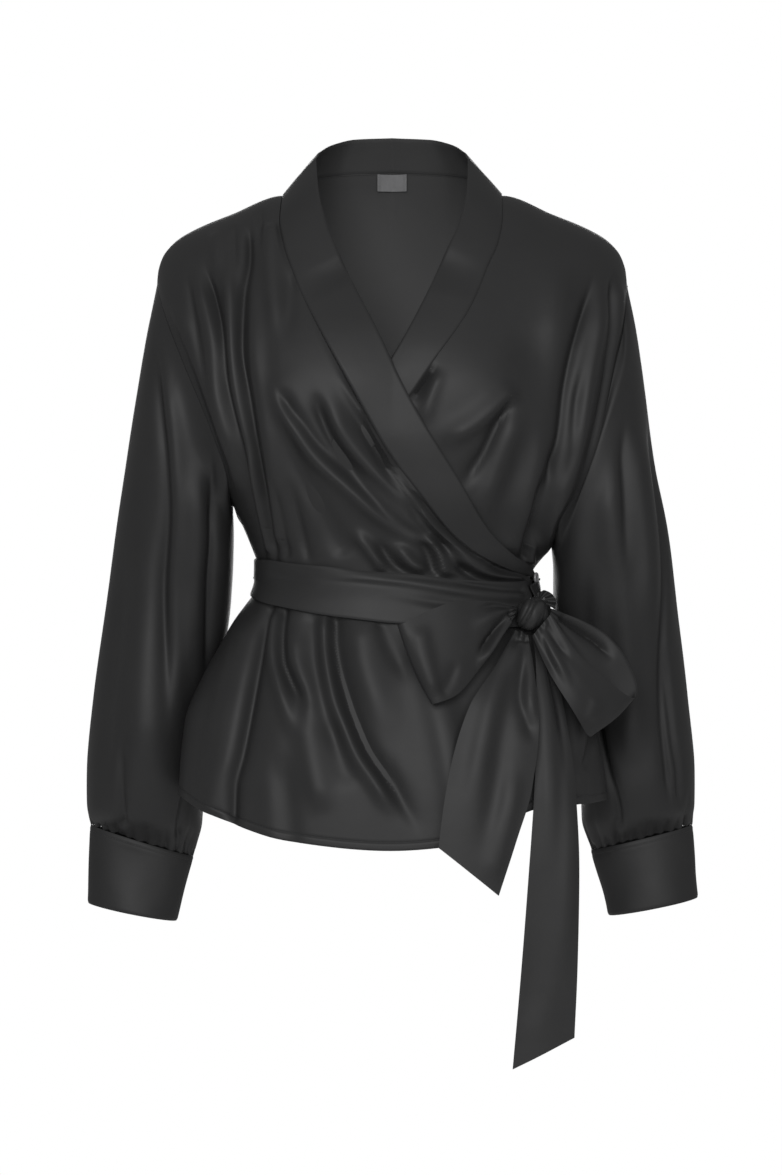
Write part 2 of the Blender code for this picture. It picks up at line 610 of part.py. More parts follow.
def lower_lift(x, z):
    """The lower front, sunk in where it runs under the upper one at the waist."""
    return -TUCK * ramp(z, -0.290, -0.330) * ramp(x, 0.134, 0.122)


def lower_front(collection, material):
    grid = front_grid(1, LOWER_BAND, LOWER_EDGE_X, "lower", LOWER_FOLDS, lower_lift)
    sheet("front_lower", grid, collection, material)


def back(collection, material):
    neck_x = np.linspace(-NECK_X, NECK_X, 80)
    neck = np.stack([neck_x, shoulder_z(neck_x, 1)], axis=1)
    columns, rows = COLUMNS["back"], ROWS["back"]
    left = along(shoulder_line(1, 1), columns[0])[::-1]
    top = [along(shoulder_line(-1, 1), columns[0]), along(neck, columns[1])[1:], left[1:]]
    hem_x = float(half_width(HEM[0].back, 1))
    bottom = hem_line(-hem_x, hem_x, "back", 2 * columns[0] + columns[1])
    outer = [outer_edge(side, rows, float(bottom[0, 1])) for side in (-1, 1)]
    x, z = patch(np.concatenate(top), bottom, *outer)
    flat = on_form(x, z, 1, np.zeros(x.shape))
    sewn = [flat[0], flat[:, 0], flat[:, -1]]
    grid = on_form(x, z, 1, fold_height(x, z, BACK_FOLDS) * edge_fade(flat, sewn, FOLD_REACH))
    grid[0, : columns[0] + 1, 1] += SEAM_GAP / 2
    grid[0, -columns[0] - 1 :, 1] += SEAM_GAP / 2
    grid[rows[0] :, [0, -1], 1] += SEAM_GAP / 2
    sheet("back", grid[:, ::-1], collection, material)


# ---- sleeves and cuffs ----------------------------------------------------------------------


def armhole_loop(side, turns):
    """The armhole's edge: over the head at turn 0, in front at 90 degrees, under at 180."""
    x, z = armhole_edge(side, turns).T
    in_front = np.sin(turns) > 0
    y = np.where(in_front, torso_y(x, z, -1), torso_y(x, z, 1))
    y = np.where(np.abs(np.sin(turns)) < 1e-9, 0.0, y)
    return np.stack([x, y, z], axis=-1)


def ring_points(ring, side, turns):
    outer = np.array([side * ring.outer_x, ring.middle_y, ring.outer_z])
    inner = np.array([side * ring.inner_x, ring.middle_y, ring.inner_z])
    middle, reach = (outer + inner) / 2, (outer - inner) / 2
    depth = np.array([0.0, -ring.half_depth, 0.0])
    return middle + np.cos(turns)[:, None] * reach + np.sin(turns)[:, None] * depth


def sleeve_lift(turns, share):
    """Height of the lengthwise folds at each turn round and share of the way down."""
    degrees = np.degrees(turns)[None, :]
    lift = np.zeros((len(share), len(turns)))
    for fold in SLEEVE_FOLDS:
        away = (degrees - fold.angle + 180) % 360 - 180
        full = np.sin(np.pi * np.clip(share, 0, 1) ** (math.log(0.5) / math.log(fold.fullest)))
        lift += fold.height * full[:, None] * np.exp(-((away / fold.spread) ** 2))
    return lift


def sleeve(name, side, collection, material):
    turns = np.linspace(0, 2 * np.pi, SLEEVE_SIDES, endpoint=False)
    rings = [armhole_loop(side, turns)]
    rings += [ring_points(ring, side, turns) for ring in SLEEVE[side]]
    seam = np.roll(rings[0], -1, axis=0) - np.roll(rings[0], 1, axis=0)
    seam /= np.linalg.norm(seam, axis=-1, keepdims=True)
    away = rings[1] - rings[0]
    away -= seam * (away * seam).sum(axis=-1, keepdims=True)
    rings[0] = rings[0] + ARM_GAP * away / np.linalg.norm(away, axis=-1, keepdims=True)
    places = [0.0]
    for before, after in zip(rings, rings[1:]):
        places.append(places[-1] + float(np.linalg.norm(after - before, axis=-1).mean()))
    share = np.linspace(0, 1, SLEEVE_ROWS + 1)
    grid = smooth(np.array(places) / places[-1], np.array(rings), share)
    round_grid = np.concatenate([grid[:, -1:], grid, grid[:, :1]], axis=1)
    normal = outward(round_grid)[:, 1:-1] * side
    grid = grid + normal * sleeve_lift(turns, share)[..., None]
    sheet(name, grid[:, ::-1] if side > 0 else grid, collection, material, tube=True)


def cuff(name, side, collection, material):
    turns = np.linspace(0, 2 * np.pi, SLEEVE_SIDES, endpoint=False)
    grid = np.array([ring_points(ring, side, turns) for ring in CUFF[side]])
    sheet(name, grid[:, ::-1] if side > 0 else grid, collection, material, tube=True)


# ---- neckband, label -------------------------------------------------------------------------


def chest_band(side, table, edge_x, count, lift):
    """The band on one front, from the shoulder down: its seam, its free edge and its rest."""
    seam = along(band_line(table, edge_x, WRAP_END_Z[side]), count)
    z = np.clip(seam[:, 1], min(column(table, "seam_z")), 0.0)
    free = [table_at(table, "seam_z", "free_" + axis, z) for axis in "xyz"]
    seam = on_form(seam[:, 0], seam[:, 1], -1, lift(seam[:, 0], seam[:, 1]))
    return seam, np.stack(free, axis=1), table_at(table, "seam_z", "rest", z)


def back_band():
    """The band behind the neck, between the two shoulder points and without them."""
    neck_x = np.linspace(-NECK_X, NECK_X, 80)
    line = along(np.stack([neck_x, shoulder_z(neck_x, 1)], axis=1), COLUMNS["back"][1])[1:-1]
    reach = np.abs(line[:, 0])
    seam = np.stack([line[:, 0], torso_y(line[:, 0], line[:, 1], 1), line[:, 1]], axis=1)
    places = column(BACK_NECK[:-1], "x")
    free = [smooth(places, column(BACK_BAND, axis), reach) for axis in "xyz"]
    free = np.stack([np.sign(line[:, 0]) * free[0], free[1], free[2]], axis=1)
    return seam, free, np.zeros(len(seam))


def neckband(collection, material):
    """One folded strip, sewn to both fronts and the back of the neck."""
    counts = {name: sum(ROWS[name][:2]) for name in ("upper", "lower")}
    upper = chest_band(-1, UPPER_BAND, UPPER_EDGE_X, counts["upper"], upper_lift)
    lower = chest_band(1, LOWER_BAND, LOWER_EDGE_X, counts["lower"], lower_lift)
    upper = [half[::-1] for half in upper]
    seam, free, rest = (np.concatenate(parts) for parts in zip(upper, back_band(), lower))
    across = free - seam
    gap = SEAM_GAP / np.linalg.norm(across[:, [0, 2]], axis=1)[:, None, None]
    shares = gap + (1 - gap) * np.linspace(0, 1, BAND_COLUMNS + 1)[None, :, None]
    grid = seam[:, None] + across[:, None] * shares
    x, z = grid[..., 0], np.minimum(grid[..., 2], -0.02)
    on_upper = (np.arange(len(seam)) < len(upper[0]))[:, None]
    laid = on_form(x, z, -1, np.where(on_upper, upper_lift(x, z), lower_lift(x, z)))
    grid += (laid - grid) * rest[:, None, None]
    sheet("neckband", grid, collection, material)


def neck_label(collection):
    """Blank woven label inside the back, hanging just under the neck seam."""
    woven = cloth_material("label_cloth", (0.55, 0.55, 0.56), 0.8)
    x, z = np.meshgrid(
        np.linspace(-LABEL_WIDTH / 2, LABEL_WIDTH / 2, 5),
        np.linspace(LABEL_TOP, LABEL_TOP - LABEL_HEIGHT, 3),
    )
    y = torso_y(x, z, 1) - WALL - LABEL_GAP
    sheet("neck_label", np.stack([x, y, z], axis=-1), collection, woven, wall=LABEL_WALL)


def adopt(piece, name, collection, material):
    """Names an object made by an operator and moves it to the top's collection."""
    piece.name = name
    piece.data.name = name
    for owner in list(piece.users_collection):
        owner.objects.unlink(piece)
    collection.objects.link(piece)
    piece.data.materials.append(material)


# ---- sash, knot and bow ----------------------------------------------------------------------


def sash(collection, material):
    """The band round the waist: its two ends come together at the knot."""
    turns = [math.radians(row.turn) for row in SASH]
    at = np.linspace(turns[0], turns[-1], SASH_COLUMNS + 1)
    middle = smooth(turns, column(SASH, "z"), at)
    width = smooth(turns, column(SASH, "width"), at)
    rows = []
    for share in np.linspace(0.5, -0.5, SASH_ROWS + 1):
        z = middle + width * share
        face = np.where(np.cos(at) >= 0, -1, 1)
        power = np.where(face < 0, BODY_POWER, table_at(TORSO, "z", "back_power", z))
        x = half_width(z, np.sin(at)) * np.sign(np.sin(at)) * np.abs(np.sin(at)) ** (2 / power)
        lift = np.full(at.shape, SASH_LIFT)
        in_front = (face < 0)[:, None]
        rows.append(np.where(in_front, on_form(x, z, -1, lift), on_form(x, z, 1, lift)))
    sheet("sash_waist", np.array(rows), collection, material)


def knot(collection, material):
    bpy.ops.mesh.primitive_uv_sphere_add(segments=16, ring_count=10, radius=0.5)
    piece = bpy.context.object
    piece.scale = KNOT_SIZE
    piece.location = KNOT_CENTRE
    bpy.ops.object.transform_apply(location=False, rotation=False, scale=True)
    adopt(piece, "sash_knot", collection, material)
    piece.data.shade_smooth()


def strip(name, table, collection, material):
    """A flat strip of the sash through its sections, bowed a little across."""
    points = np.array(table)
    first, second = points[:, :3], points[:, 3:]
    middle = (first + second) / 2
    places = np.concatenate([[0], np.cumsum(np.linalg.norm(np.diff(middle, axis=0), axis=1))])
    at = np.linspace(0, places[-1], STRIP_ROWS + 1)
    first, second = smooth(places, first, at), smooth(places, second, at)
    shares = np.linspace(0, 1, STRIP_COLUMNS + 1)[None, :, None]
    grid = first[:, None] + (second - first)[:, None] * shares
    sheet(name, grid, collection, material, offset=0.0)


# ---- button ----------------------------------------------------------------------------------


def side_button(collection):
    resin = cloth_material("button_resin", (0.30, 0.30, 0.31), 0.15)
    x, z = np.array([BUTTON_X]), np.array([BUTTON_Z])
    under, centre = (on_form(x, z, -1, np.array([lift]))[0] for lift in (0.0, BUTTON_LIFT))
    facing = centre - under
    bpy.ops.mesh.primitive_cylinder_add(vertices=20, radius=BUTTON_RADIUS, depth=BUTTON_THICK)
    piece = bpy.context.object
    piece.rotation_euler = (math.radians(90), 0, math.atan2(facing[0], -facing[1]))
    piece.location = centre
    adopt(piece, "side_button", collection, resin)


def build():
    clear_scene()
    collection = bpy.data.collections.new("wrap_top")
    bpy.context.scene.collection.children.link(collection)
    satin = cloth_material("satin", (0.025, 0.025, 0.026), 0.35)
    upper_front(collection, satin)
    lower_front(collection, satin)
    back(collection, satin)
    sleeve("sleeve_right", -1, collection, satin)
    sleeve("sleeve_left", 1, collection, satin)
    cuff("cuff_right", -1, collection, satin)
    cuff("cuff_left", 1, collection, satin)
    neckband(collection, satin)
    neck_label(collection)
    sash(collection, satin)
    knot(collection, satin)
    strip("bow_loop_right", BOW_RIGHT_LOOP, collection, satin)
    strip("bow_loop_left", BOW_LEFT_LOOP, collection, satin)
    strip("tail_short", SHORT_TAIL, collection, satin)
    strip("tail_long", LONG_TAIL, collection, satin)
    side_button(collection)


build()
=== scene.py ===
import math
from collections import namedtuple

import bmesh
import bpy
import numpy as np
from mathutils import Matrix, Vector, kdtree, noise


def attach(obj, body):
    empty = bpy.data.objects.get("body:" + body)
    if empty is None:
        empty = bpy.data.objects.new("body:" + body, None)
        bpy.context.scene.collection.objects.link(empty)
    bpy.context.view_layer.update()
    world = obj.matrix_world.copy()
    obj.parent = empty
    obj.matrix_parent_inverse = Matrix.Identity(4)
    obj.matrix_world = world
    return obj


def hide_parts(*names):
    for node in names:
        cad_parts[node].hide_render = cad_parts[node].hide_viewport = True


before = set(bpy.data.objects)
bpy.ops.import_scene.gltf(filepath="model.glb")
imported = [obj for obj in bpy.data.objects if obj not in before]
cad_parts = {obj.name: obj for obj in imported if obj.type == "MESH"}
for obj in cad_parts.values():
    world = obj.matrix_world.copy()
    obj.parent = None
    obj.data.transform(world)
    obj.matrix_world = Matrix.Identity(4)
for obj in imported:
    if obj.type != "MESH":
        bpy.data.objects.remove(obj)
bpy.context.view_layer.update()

# A wrap top in black satin, in the shape it has when worn, with nobody in it. Metres, +Z up.
# The wearer faces -Y, so +X is the wearer's left; every place follows the frame loaded above.


# ---- Back -----------------------------------------------------------------------------------
# The back is one width of black satin, shiny side out, cut wide so that it blouses over the
# sash. Its shoulders and sides are sewn to the two fronts and a narrow hem is turned up twice
# and stitched along its lower edge.

NECK_X = 0.103  # half the width between the two shoulder and neck points
TIP_X = 0.221  # half the width between the two sleeve heads
TIP_Z = -0.084
BODY_POWER = 2.3  # roundness of the front half of a section, 2 being an ellipse
BUST_X, BUST_Z, BUST_SPREAD, BUST_OUT = 0.080, -0.185, 0.052, 0.010

# One level of the torso: half widths on the two sides, depths from the side seam's plane,
# where that plane is, and the roundness of the back half.
Level = namedtuple("Level", "z right left front back middle back_power")
TORSO = [
    Level(0.040, 0.221, 0.221, 0.096, 0.106, 0.000, 2.3),
    Level(-0.084, 0.221, 0.221, 0.105, 0.114, 0.000, 2.3),
    Level(-0.155, 0.214, 0.217, 0.113, 0.118, 0.000, 2.3),
    Level(-0.225, 0.194, 0.211, 0.117, 0.116, 0.000, 2.3),
    Level(-0.268, 0.166, 0.198, 0.113, 0.111, 0.000, 2.3),
    Level(-0.290, 0.150, 0.184, 0.110, 0.107, 0.000, 2.3),
    Level(-0.330, 0.132, 0.150, 0.099, 0.096, 0.000, 2.3),
    Level(-0.360, 0.1225, 0.130, 0.096, 0.092, 0.000, 2.3),
    Level(-0.385, 0.138, 0.138, 0.098, 0.095, -0.003, 2.2),
    Level(-0.451, 0.177, 0.175, 0.099, 0.120, -0.018, 1.85),
    Level(-0.493, 0.193, 0.190, 0.098, 0.138, -0.028, 1.7),
    Level(-0.560, 0.198, 0.198, 0.095, 0.155, -0.040, 1.6),
    Level(-0.620, 0.199, 0.199, 0.094, 0.160, -0.045, 1.6),
]

# The upper edge of the torso form, seen from the front: the shoulder line outside the neck.
Shoulder = namedtuple("Shoulder", "x z drop")
SHOULDER = [
    Shoulder(0.000, 0.000, 0.190),
    Shoulder(0.103, 0.000, 0.190),
    Shoulder(0.150, -0.017, 0.150),
    Shoulder(0.195, -0.037, 0.095),
    Shoulder(0.212, -0.052, 0.075),
    Shoulder(0.219, -0.068, 0.062),
    Shoulder(0.221, -0.084, 0.060),
]

# The seam of the back at the neck, from the middle out to the shoulder point.
BackNeck = namedtuple("BackNeck", "x y z power")
BACK_NECK = [
    BackNeck(0.000, 0.095, 0.034, 1.00),
    BackNeck(0.050, 0.082, 0.030, 0.95),
    BackNeck(0.074, 0.060, 0.024, 0.80),
    BackNeck(0.092, 0.030, 0.012, 0.62),
    BackNeck(0.103, 0.000, 0.000, 0.50),
]

# Armhole edges, the wearer's right (-X) and left (+X): half width at each height.
Armhole = namedtuple("Armhole", "z x")
ARMHOLE = {
    -1: [
        Armhole(-0.084, 0.2210),
        Armhole(-0.120, 0.2090),
        Armhole(-0.155, 0.1950),
        Armhole(-0.232, 0.1630),
        Armhole(-0.268, 0.1520),
        Armhole(-0.290, 0.1500),
    ],
    1: [
        Armhole(-0.084, 0.2210),
        Armhole(-0.128, 0.2150),
        Armhole(-0.164, 0.2060),
        Armhole(-0.227, 0.1920),
        Armhole(-0.268, 0.1780),
        Armhole(-0.309, 0.1540),
        Armhole(-0.330, 0.1500),
    ],
}

WAIST_Z = -0.360
Hem = namedtuple("Hem", "x front back")
HEM = [
    Hem(-0.200, -0.558, -0.558),
    Hem(-0.175, -0.570, -0.562),
    Hem(-0.090, -0.597, -0.570),
    Hem(0.000, -0.605, -0.573),
    Hem(0.060, -0.600, -0.572),
    Hem(0.132, -0.568, -0.569),
    Hem(0.200, -0.564, -0.564),
]
ARM_ROWS = 92  # rows of cloth down half an armhole, which panels and sleeves share
LEVELLING = 7  # how soon a panel's rows lose the slope of the shoulder
LEVEL_OUT = (0.45, 1.0)  # the stretch of a panel's width in which its rows change height
CLOTH = 0.0006  # the satin with the slight air that keeps a worn shell from being a blade


def smooth(knots, values, at):
    """Values at `at` on a curve through the knots that never swings past them."""
    knots, values = np.asarray(knots, float), np.asarray(values, float)
    if knots[0] > knots[-1]:
        knots, values = knots[::-1], values[::-1]
    shape = (-1,) + (1,) * (values.ndim - 1)
    width = np.diff(knots).reshape(shape)
    rise = np.diff(values, axis=0) / width
    before, after = rise[:-1], rise[1:]
    same_way = before * after > 0
    total = np.where(same_way, before + after, 1.0)
    middle = np.where(same_way, 2.0 * before * after / total, 0.0)
    slope = np.concatenate([rise[:1], middle, rise[-1:]])
    at = np.clip(np.asarray(at, float), knots[0], knots[-1])
    cell = np.clip(np.searchsorted(knots, at, side="right") - 1, 0, len(knots) - 2)
    extra = (1,) * (values.ndim - 1)
    t = ((at - knots[cell]) / np.diff(knots)[cell]).reshape(at.shape + extra)
    step = np.diff(knots)[cell].reshape(at.shape + extra)
    low, high = values[cell], values[cell + 1]
    return (
        low * (1 + 2 * t) * (1 - t) ** 2
        + high * t * t * (3 - 2 * t)
        + slope[cell] * step * t * (1 - t) ** 2
        - slope[cell + 1] * step * t * t * (1 - t)
    )


def column(table, name):
    return [getattr(row, name) for row in table]


def table_at(table, by, name, at):
    return smooth(column(table, by), column(table, name), at)


def ramp(value, start, end):
    t = np.clip((np.asarray(value, float) - start) / (end - start), 0.0, 1.0)
    return t * t * (3 - 2 * t)


def half_width(z, side):
    """Half width of the torso form; side is -1 at the wearer's right and 1 at the left."""
    right, left = table_at(TORSO, "z", "right", z), table_at(TORSO, "z", "left", z)
    return np.where(np.asarray(side) < 0, right, left)


def shoulder_z(x, face):
    """Height of the torso form's upper edge: the shoulder, and behind the neck its seam."""
    reach = np.abs(x)
    line = table_at(SHOULDER, "x", "z", reach)
    if face < 0:
        return line
    return np.where(reach < NECK_X, table_at(BACK_NECK, "x", "z", reach), line)


def torso_y(x, z, face):
    """Depth of the torso form at a place in front view; face is -1 in front, 1 behind."""
    x, z = np.broadcast_arrays(np.asarray(x, float), np.asarray(z, float))
    reach = np.abs(x)
    share = np.clip(reach / half_width(z, x), 0.0, 1.0)
    if face < 0:
        power = np.full(z.shape, BODY_POWER)
        depth = table_at(TORSO, "z", "front", z)
        lean, rounding = np.zeros(z.shape), np.full(z.shape, 0.5)
    else:
        power = table_at(TORSO, "z", "back_power", z)
        depth = table_at(TORSO, "z", "back", z)
        inside = reach < NECK_X
        lean = np.where(inside, table_at(BACK_NECK, "x", "y", reach), 0.0)
        rounding = np.where(inside, table_at(BACK_NECK, "x", "power", reach), 0.5)
    full = depth * (1 - share**power) ** (1 / power)
    below = (shoulder_z(x, face) - z) / table_at(SHOULDER, "x", "drop", reach)
    filled = (1 - (1 - np.clip(below, 0.0, 1.0)) ** 2) ** rounding
    out = lean + (full - lean) * filled
    if face < 0:
        far = ((reach - BUST_X) ** 2 + (z - BUST_Z) ** 2) / BUST_SPREAD**2
        out = out + BUST_OUT * np.exp(-far)
    return table_at(TORSO, "z", "middle", z) + face * out


def on_form(x, z, face, lift):
    """Points lifted off the torso form at places in front view, straight out of its surface."""
    step = 1e-4
    beside = x - np.where(x < 0, -step, step)
    y = torso_y(x, z, face)
    slope_x = (y - torso_y(beside, z, face)) / (x - beside)
    slope_z = (torso_y(x, z + step, face) - torso_y(x, z - step, face)) / (2 * step)
    normal = np.stack([-slope_x, np.ones(y.shape), -slope_z], axis=-1) * face
    normal /= np.linalg.norm(normal, axis=-1, keepdims=True)
    return np.stack([x, y, z], axis=-1) + normal * lift[..., None]


# A crease runs through a few points in front view. Its height is a ridge over 0 and a trough
# under 0; left and right are its widths on the two sides as it runs down, power 2 is soft and
# power 1 is sharp, and start and end are the shares of its length over which it dies out.
Crease = namedtuple("Crease", "path height left right power start end")
BLUNT = 0.0012  # how round the sharpest crease is
REACH = 3.2  # widths from its path at which a crease has died out
MM = 0.001


def crease_table(*rows):
    """Creases from rows in millimetres, a path being x and z of its points in turn."""
    table = []
    for path, height, left, right, power, start, end in rows:
        points = np.reshape(path, (-1, 2)) * MM
        table.append(Crease(points, height * MM, left * MM, right * MM, power, start, end))
    return table


def bend(path, count=48):
    points = np.array(path, float)
    reach = np.concatenate([[0], np.cumsum(np.linalg.norm(np.diff(points, axis=0), axis=1))])
    return smooth(reach, points, np.linspace(0, reach[-1], count))


def crease_height(x, z, creases):
    """How far the creases lift the cloth at each place."""
    lift = np.zeros(x.shape)
    for crease in creases:
        path = bend(crease.path)
        reach = REACH * max(crease.left, crease.right)
        low, high = path.min(axis=0) - reach, path.max(axis=0) + reach
        near = (x > low[0]) & (x < high[0]) & (z > low[1]) & (z < high[1])
        if not near.any():
            continue
        run = np.diff(path, axis=0)
        away = np.stack([x[near], z[near]], axis=1)[:, None] - path[None, :-1]
        share = np.clip((away * run).sum(axis=-1) / (run**2).sum(axis=-1), 0.0, 1.0)
        away = away - share[..., None] * run
        far = np.linalg.norm(away, axis=-1)
        rows = np.arange(len(far))
        best = far.argmin(axis=1)
        share = (best + share[rows, best]) / len(run)
        far = np.hypot(far[rows, best], BLUNT) - BLUNT
        away, run = away[rows, best], run[best]
        on_right = run[:, 0] * away[:, 1] > run[:, 1] * away[:, 0]
        width = np.where(on_right, crease.right, crease.left)
        alive = np.ones(len(far))
        if crease.start:
            alive *= ramp(share, 0.0, crease.start)
        if crease.end:
            alive *= ramp(share, 1.0, 1.0 - crease.end)
        lift[near] += crease.height * alive * np.exp(-((far / width) ** crease.power))
    return lift


def eased(lift, tube=False):
    """A grid of heights with each one drawn a little toward its neighbours."""
    beside = "wrap" if tube else "edge"
    lift = np.pad(lift, ((1, 1), (0, 0)), mode="edge")
    lift = (lift[:-2] + 2 * lift[1:-1] + lift[2:]) / 4
    lift = np.pad(lift, ((0, 0), (1, 1)), mode=beside)
    return (lift[:, :-2] + 2 * lift[:, 1:-1] + lift[:, 2:]) / 4


def waves(points, size, height, seed):
    """Slow unevenness of hanging cloth; size is how long a wave is along each axis."""
    scaled = points.reshape(-1, 3) / np.array(size) + seed * 7.31
    heights = [noise.noise(Vector(point)) for point in scaled]
    return height * np.array(heights).reshape(points.shape[:-1])


def spaced(line, face, count):
    """Points along a line in front view, evenly apart as measured on the form."""
    shares = np.linspace(0, 1, 12)[:-1, None]
    fine = [start + (end - start) * shares for start, end in zip(line, line[1:])]
    fine = np.concatenate(fine + [line[-1:]])
    solid = np.stack([fine[:, 0], torso_y(fine[:, 0], fine[:, 1], face), fine[:, 1]], axis=1)
    reach = np.concatenate([[0], np.cumsum(np.linalg.norm(np.diff(solid, axis=0), axis=1))])
    at = np.linspace(0, reach[-1], count + 1)
    return np.stack([np.interp(at, reach, fine[:, 0]), np.interp(at, reach, fine[:, 1])], axis=1)


def turn_of(x, z):
    share = np.clip(np.abs(x) / half_width(z, x), 0.0, 1.0)
    return np.sign(x) * np.arcsin(share ** (BODY_POWER / 2))


def x_of(turn, z):
    return half_width(z, turn) * np.sign(turn) * np.abs(np.sin(turn)) ** (2 / BODY_POWER)


def shoulder_line(side, face):
    x = side * np.linspace(TIP_X, NECK_X, 600)
    return np.stack([x, shoulder_z(x, face)], axis=1)


def armhole_edge(side, turns):
    """x and z of the armhole at turns round it: 0 over the head, half a turn underneath."""
    z = TIP_Z + (ARMHOLE[side][-1].z - TIP_Z) * (1 - np.cos(turns)) / 2
    return np.stack([side * table_at(ARMHOLE[side], "z", "x", z), z], axis=-1)


def outer_edge(side, rows, hem):
    """The armhole's edge, then the side seam to the waist and on down to the hem."""
    stretches = [armhole_edge(side, np.linspace(0, np.pi, rows[0] + 1))]
    for start, end, count in ((stretches[0][-1, 1], WAIST_Z, rows[1]), (WAIST_Z, hem, rows[2])):
        z = np.linspace(start, end, count + 1)[1:]
        stretches.append(np.stack([side * half_width(z, side), z], axis=1))
    return np.concatenate(stretches)


def hem_line(start_x, end_x, part, count):
    turns = np.linspace(turn_of(start_x, HEM[0].front), turn_of(end_x, HEM[0].front), count + 1)
    x = x_of(turns, np.full(count + 1, HEM[0].front))
    return np.stack([x, table_at(HEM, "x", part, x)], axis=1)


def patch(top, bottom, outer, inner):
    """x and z of the points between four edges, whose rows leave the two sides level."""
    edges = (top, bottom, outer, inner)
    turned = [np.stack([turn_of(edge[:, 0], edge[:, 1]), edge[:, 1]], axis=1) for edge in edges]
    top, bottom, outer, inner = turned
    down = 1 - (1 - np.linspace(0, 1, len(outer))[:, None, None]) ** LEVELLING
    place = np.linspace(0, 1, len(top))
    across = np.stack([ramp(place, 0.0, 1.0), ramp(place, *LEVEL_OUT)], axis=1)[None]
    grid = (1 - down) * top[None] + down * bottom[None]
    corners = (1 - down) * top[[0, -1]][None] + down * bottom[[0, -1]][None]
    grid = grid + (1 - across) * (outer[:, None] - corners[:, :1])
    grid = grid + across * (inner[:, None] - corners[:, 1:])
    return x_of(grid[..., 0], grid[..., 1]), grid[..., 1]


def far_from(grid, edges):
    """Distance of every point of a panel from the edges it is sewn at."""
    points = np.concatenate([edge.reshape(-1, 3) for edge in edges])
    tree = kdtree.KDTree(len(points))
    for place, point in enumerate(points):
        tree.insert(point, place)
    tree.balance()
    return np.array([tree.find(point)[2] for point in grid.reshape(-1, 3)]).reshape(grid.shape[:2])


def sash_hold(x, z, room):
    """1 on free cloth, down to `room` where the sash presses the cloth to the waist."""
    middle = np.interp(x, (-0.13, -0.04, 0.04, 0.14), (-0.357, -0.367, -0.382, -0.386))
    return 1 - (1 - room) * ramp(np.abs(z - middle), 0.032, 0.016)


def outward(grid, tube=False):
    """Unit normals of a grid whose rows run down and whose columns run to its right."""
    down = np.gradient(grid, axis=0)
    if tube:
        across = np.roll(grid, -1, axis=1) - np.roll(grid, 1, axis=1)
    else:
        across = np.gradient(grid, axis=1)
    normal = np.cross(down, across)
    return normal / np.maximum(np.linalg.norm(normal, axis=-1, keepdims=True), 1e-12)


HEM_DEPTH, HEM_STEP = 0.0075, 0.0005  # the turning and how far its double cloth stands out
HEM_DENT = 0.0007  # half width of the dent that the stitches pull in
# Heights over the lower edge of the close rows that carry the hem, and the row of the stitches.
HEM_LADDER = np.array([16, 13, 10.6, 8.9, 8.1, 7.6, 7.1, 6.2, 4.4, 2.4, 0.9, 0.0]) * MM
HEM_ROW = -7


def hemmed(grid):
    """Adds close rows at the lower edge and the step and stitch line of a double turned hem."""
    ladder, kept = HEM_LADDER, len(grid)
    gaps = np.linalg.norm(np.diff(grid[::-1], axis=0), axis=-1)
    reach = np.concatenate([np.zeros((1, grid.shape[1])), np.cumsum(gaps, axis=0)])
    while reach[len(grid) - kept].min() < ladder[0] + 0.002:
        kept -= 1
    low = np.empty((len(ladder), grid.shape[1], 3))
    for place in range(grid.shape[1]):
        for axis in range(3):
            low[:, place, axis] = np.interp(ladder, reach[:, place], grid[::-1, place, axis])
    grid = np.concatenate([grid[:kept], low])
    normal = outward(grid)[-len(ladder):]
    lift = HEM_STEP * ramp(ladder, HEM_DEPTH * 1.02, HEM_DEPTH * 0.86)
    lift -= HEM_STEP * np.exp(-(((ladder - HEM_DEPTH) / HEM_DENT) ** 2))
    lift -= HEM_STEP * ramp(ladder, 0.0012, 0.0)
    grid[-len(ladder):] += normal * lift[:, None, None]
    return grid


class Wire:
    """A socket of a material; arithmetic on it adds Math nodes."""

    def __init__(self, finish, socket):
        self.finish, self.socket = finish, socket

    def math(self, operation, *values):
        sockets = dict(enumerate(values))
        return self.finish.node("ShaderNodeMath", {"operation": operation}, sockets)["Value"]

    def __add__(self, other):
        return self.math("ADD", self, other)

    def __mul__(self, other):
        return self.math("MULTIPLY", self, other)

    __radd__, __rmul__ = __add__, __mul__


class Node:
    """A node whose outputs are taken by name."""

    def __init__(self, finish, node):
        self.finish, self.node = finish, node

    def __getitem__(self, name):
        return Wire(self.finish, self.node.outputs[name])


class Finish:
    """One procedural material on the standard shader."""

    def __init__(self, name, **constants):
        self.material = bpy.data.materials.new(name)
        self.material.use_nodes = True
        self.shader = self.material.node_tree.nodes["Principled BSDF"]
        for socket, value in constants.items():
            self.shader.inputs[socket.replace("_", " ")].default_value = value

    def fill(self, node, sockets):
        for name, value in sockets.items():
            if isinstance(value, Wire):
                self.material.node_tree.links.new(value.socket, node.inputs[name])
            else:
                node.inputs[name].default_value = value

    def node(self, kind, settings, sockets):
        node = self.material.node_tree.nodes.new(kind)
        for name, value in settings.items():
            setattr(node, name, value)
        self.fill(node, sockets)
        return Node(self, node)

    def noise(self, vector, scale, detail=2.0, roughness=0.5):
        sockets = {"Vector": vector, "Scale": scale, "Detail": detail, "Roughness": roughness}
        return self.node("ShaderNodeTexNoise", {}, sockets)["Fac"]

    def colour(self, share, low, high):
        scale = self.node("ShaderNodeValToRGB", {}, {"Fac": share})
        for stop, tone in zip(scale.node.color_ramp.elements, (low, high)):
            stop.color = (*tone, 1.0)
        return scale["Color"]

    def bump(self, height, distance, strength=1.0, under=None):
        sockets = {"Height": height, "Distance": distance, "Strength": strength}
        if under:
            sockets["Normal"] = under
        return self.node("ShaderNodeBump", {}, sockets)["Normal"]


# Painted light on the reverse: its colour is drawn paler round this depth, standing in for light
# that the shaded inside of the V neck does not get.
PAINTED_LIGHT_Z = 0.17  # how far below the shoulders the reverse is palest, where the neck opening ends


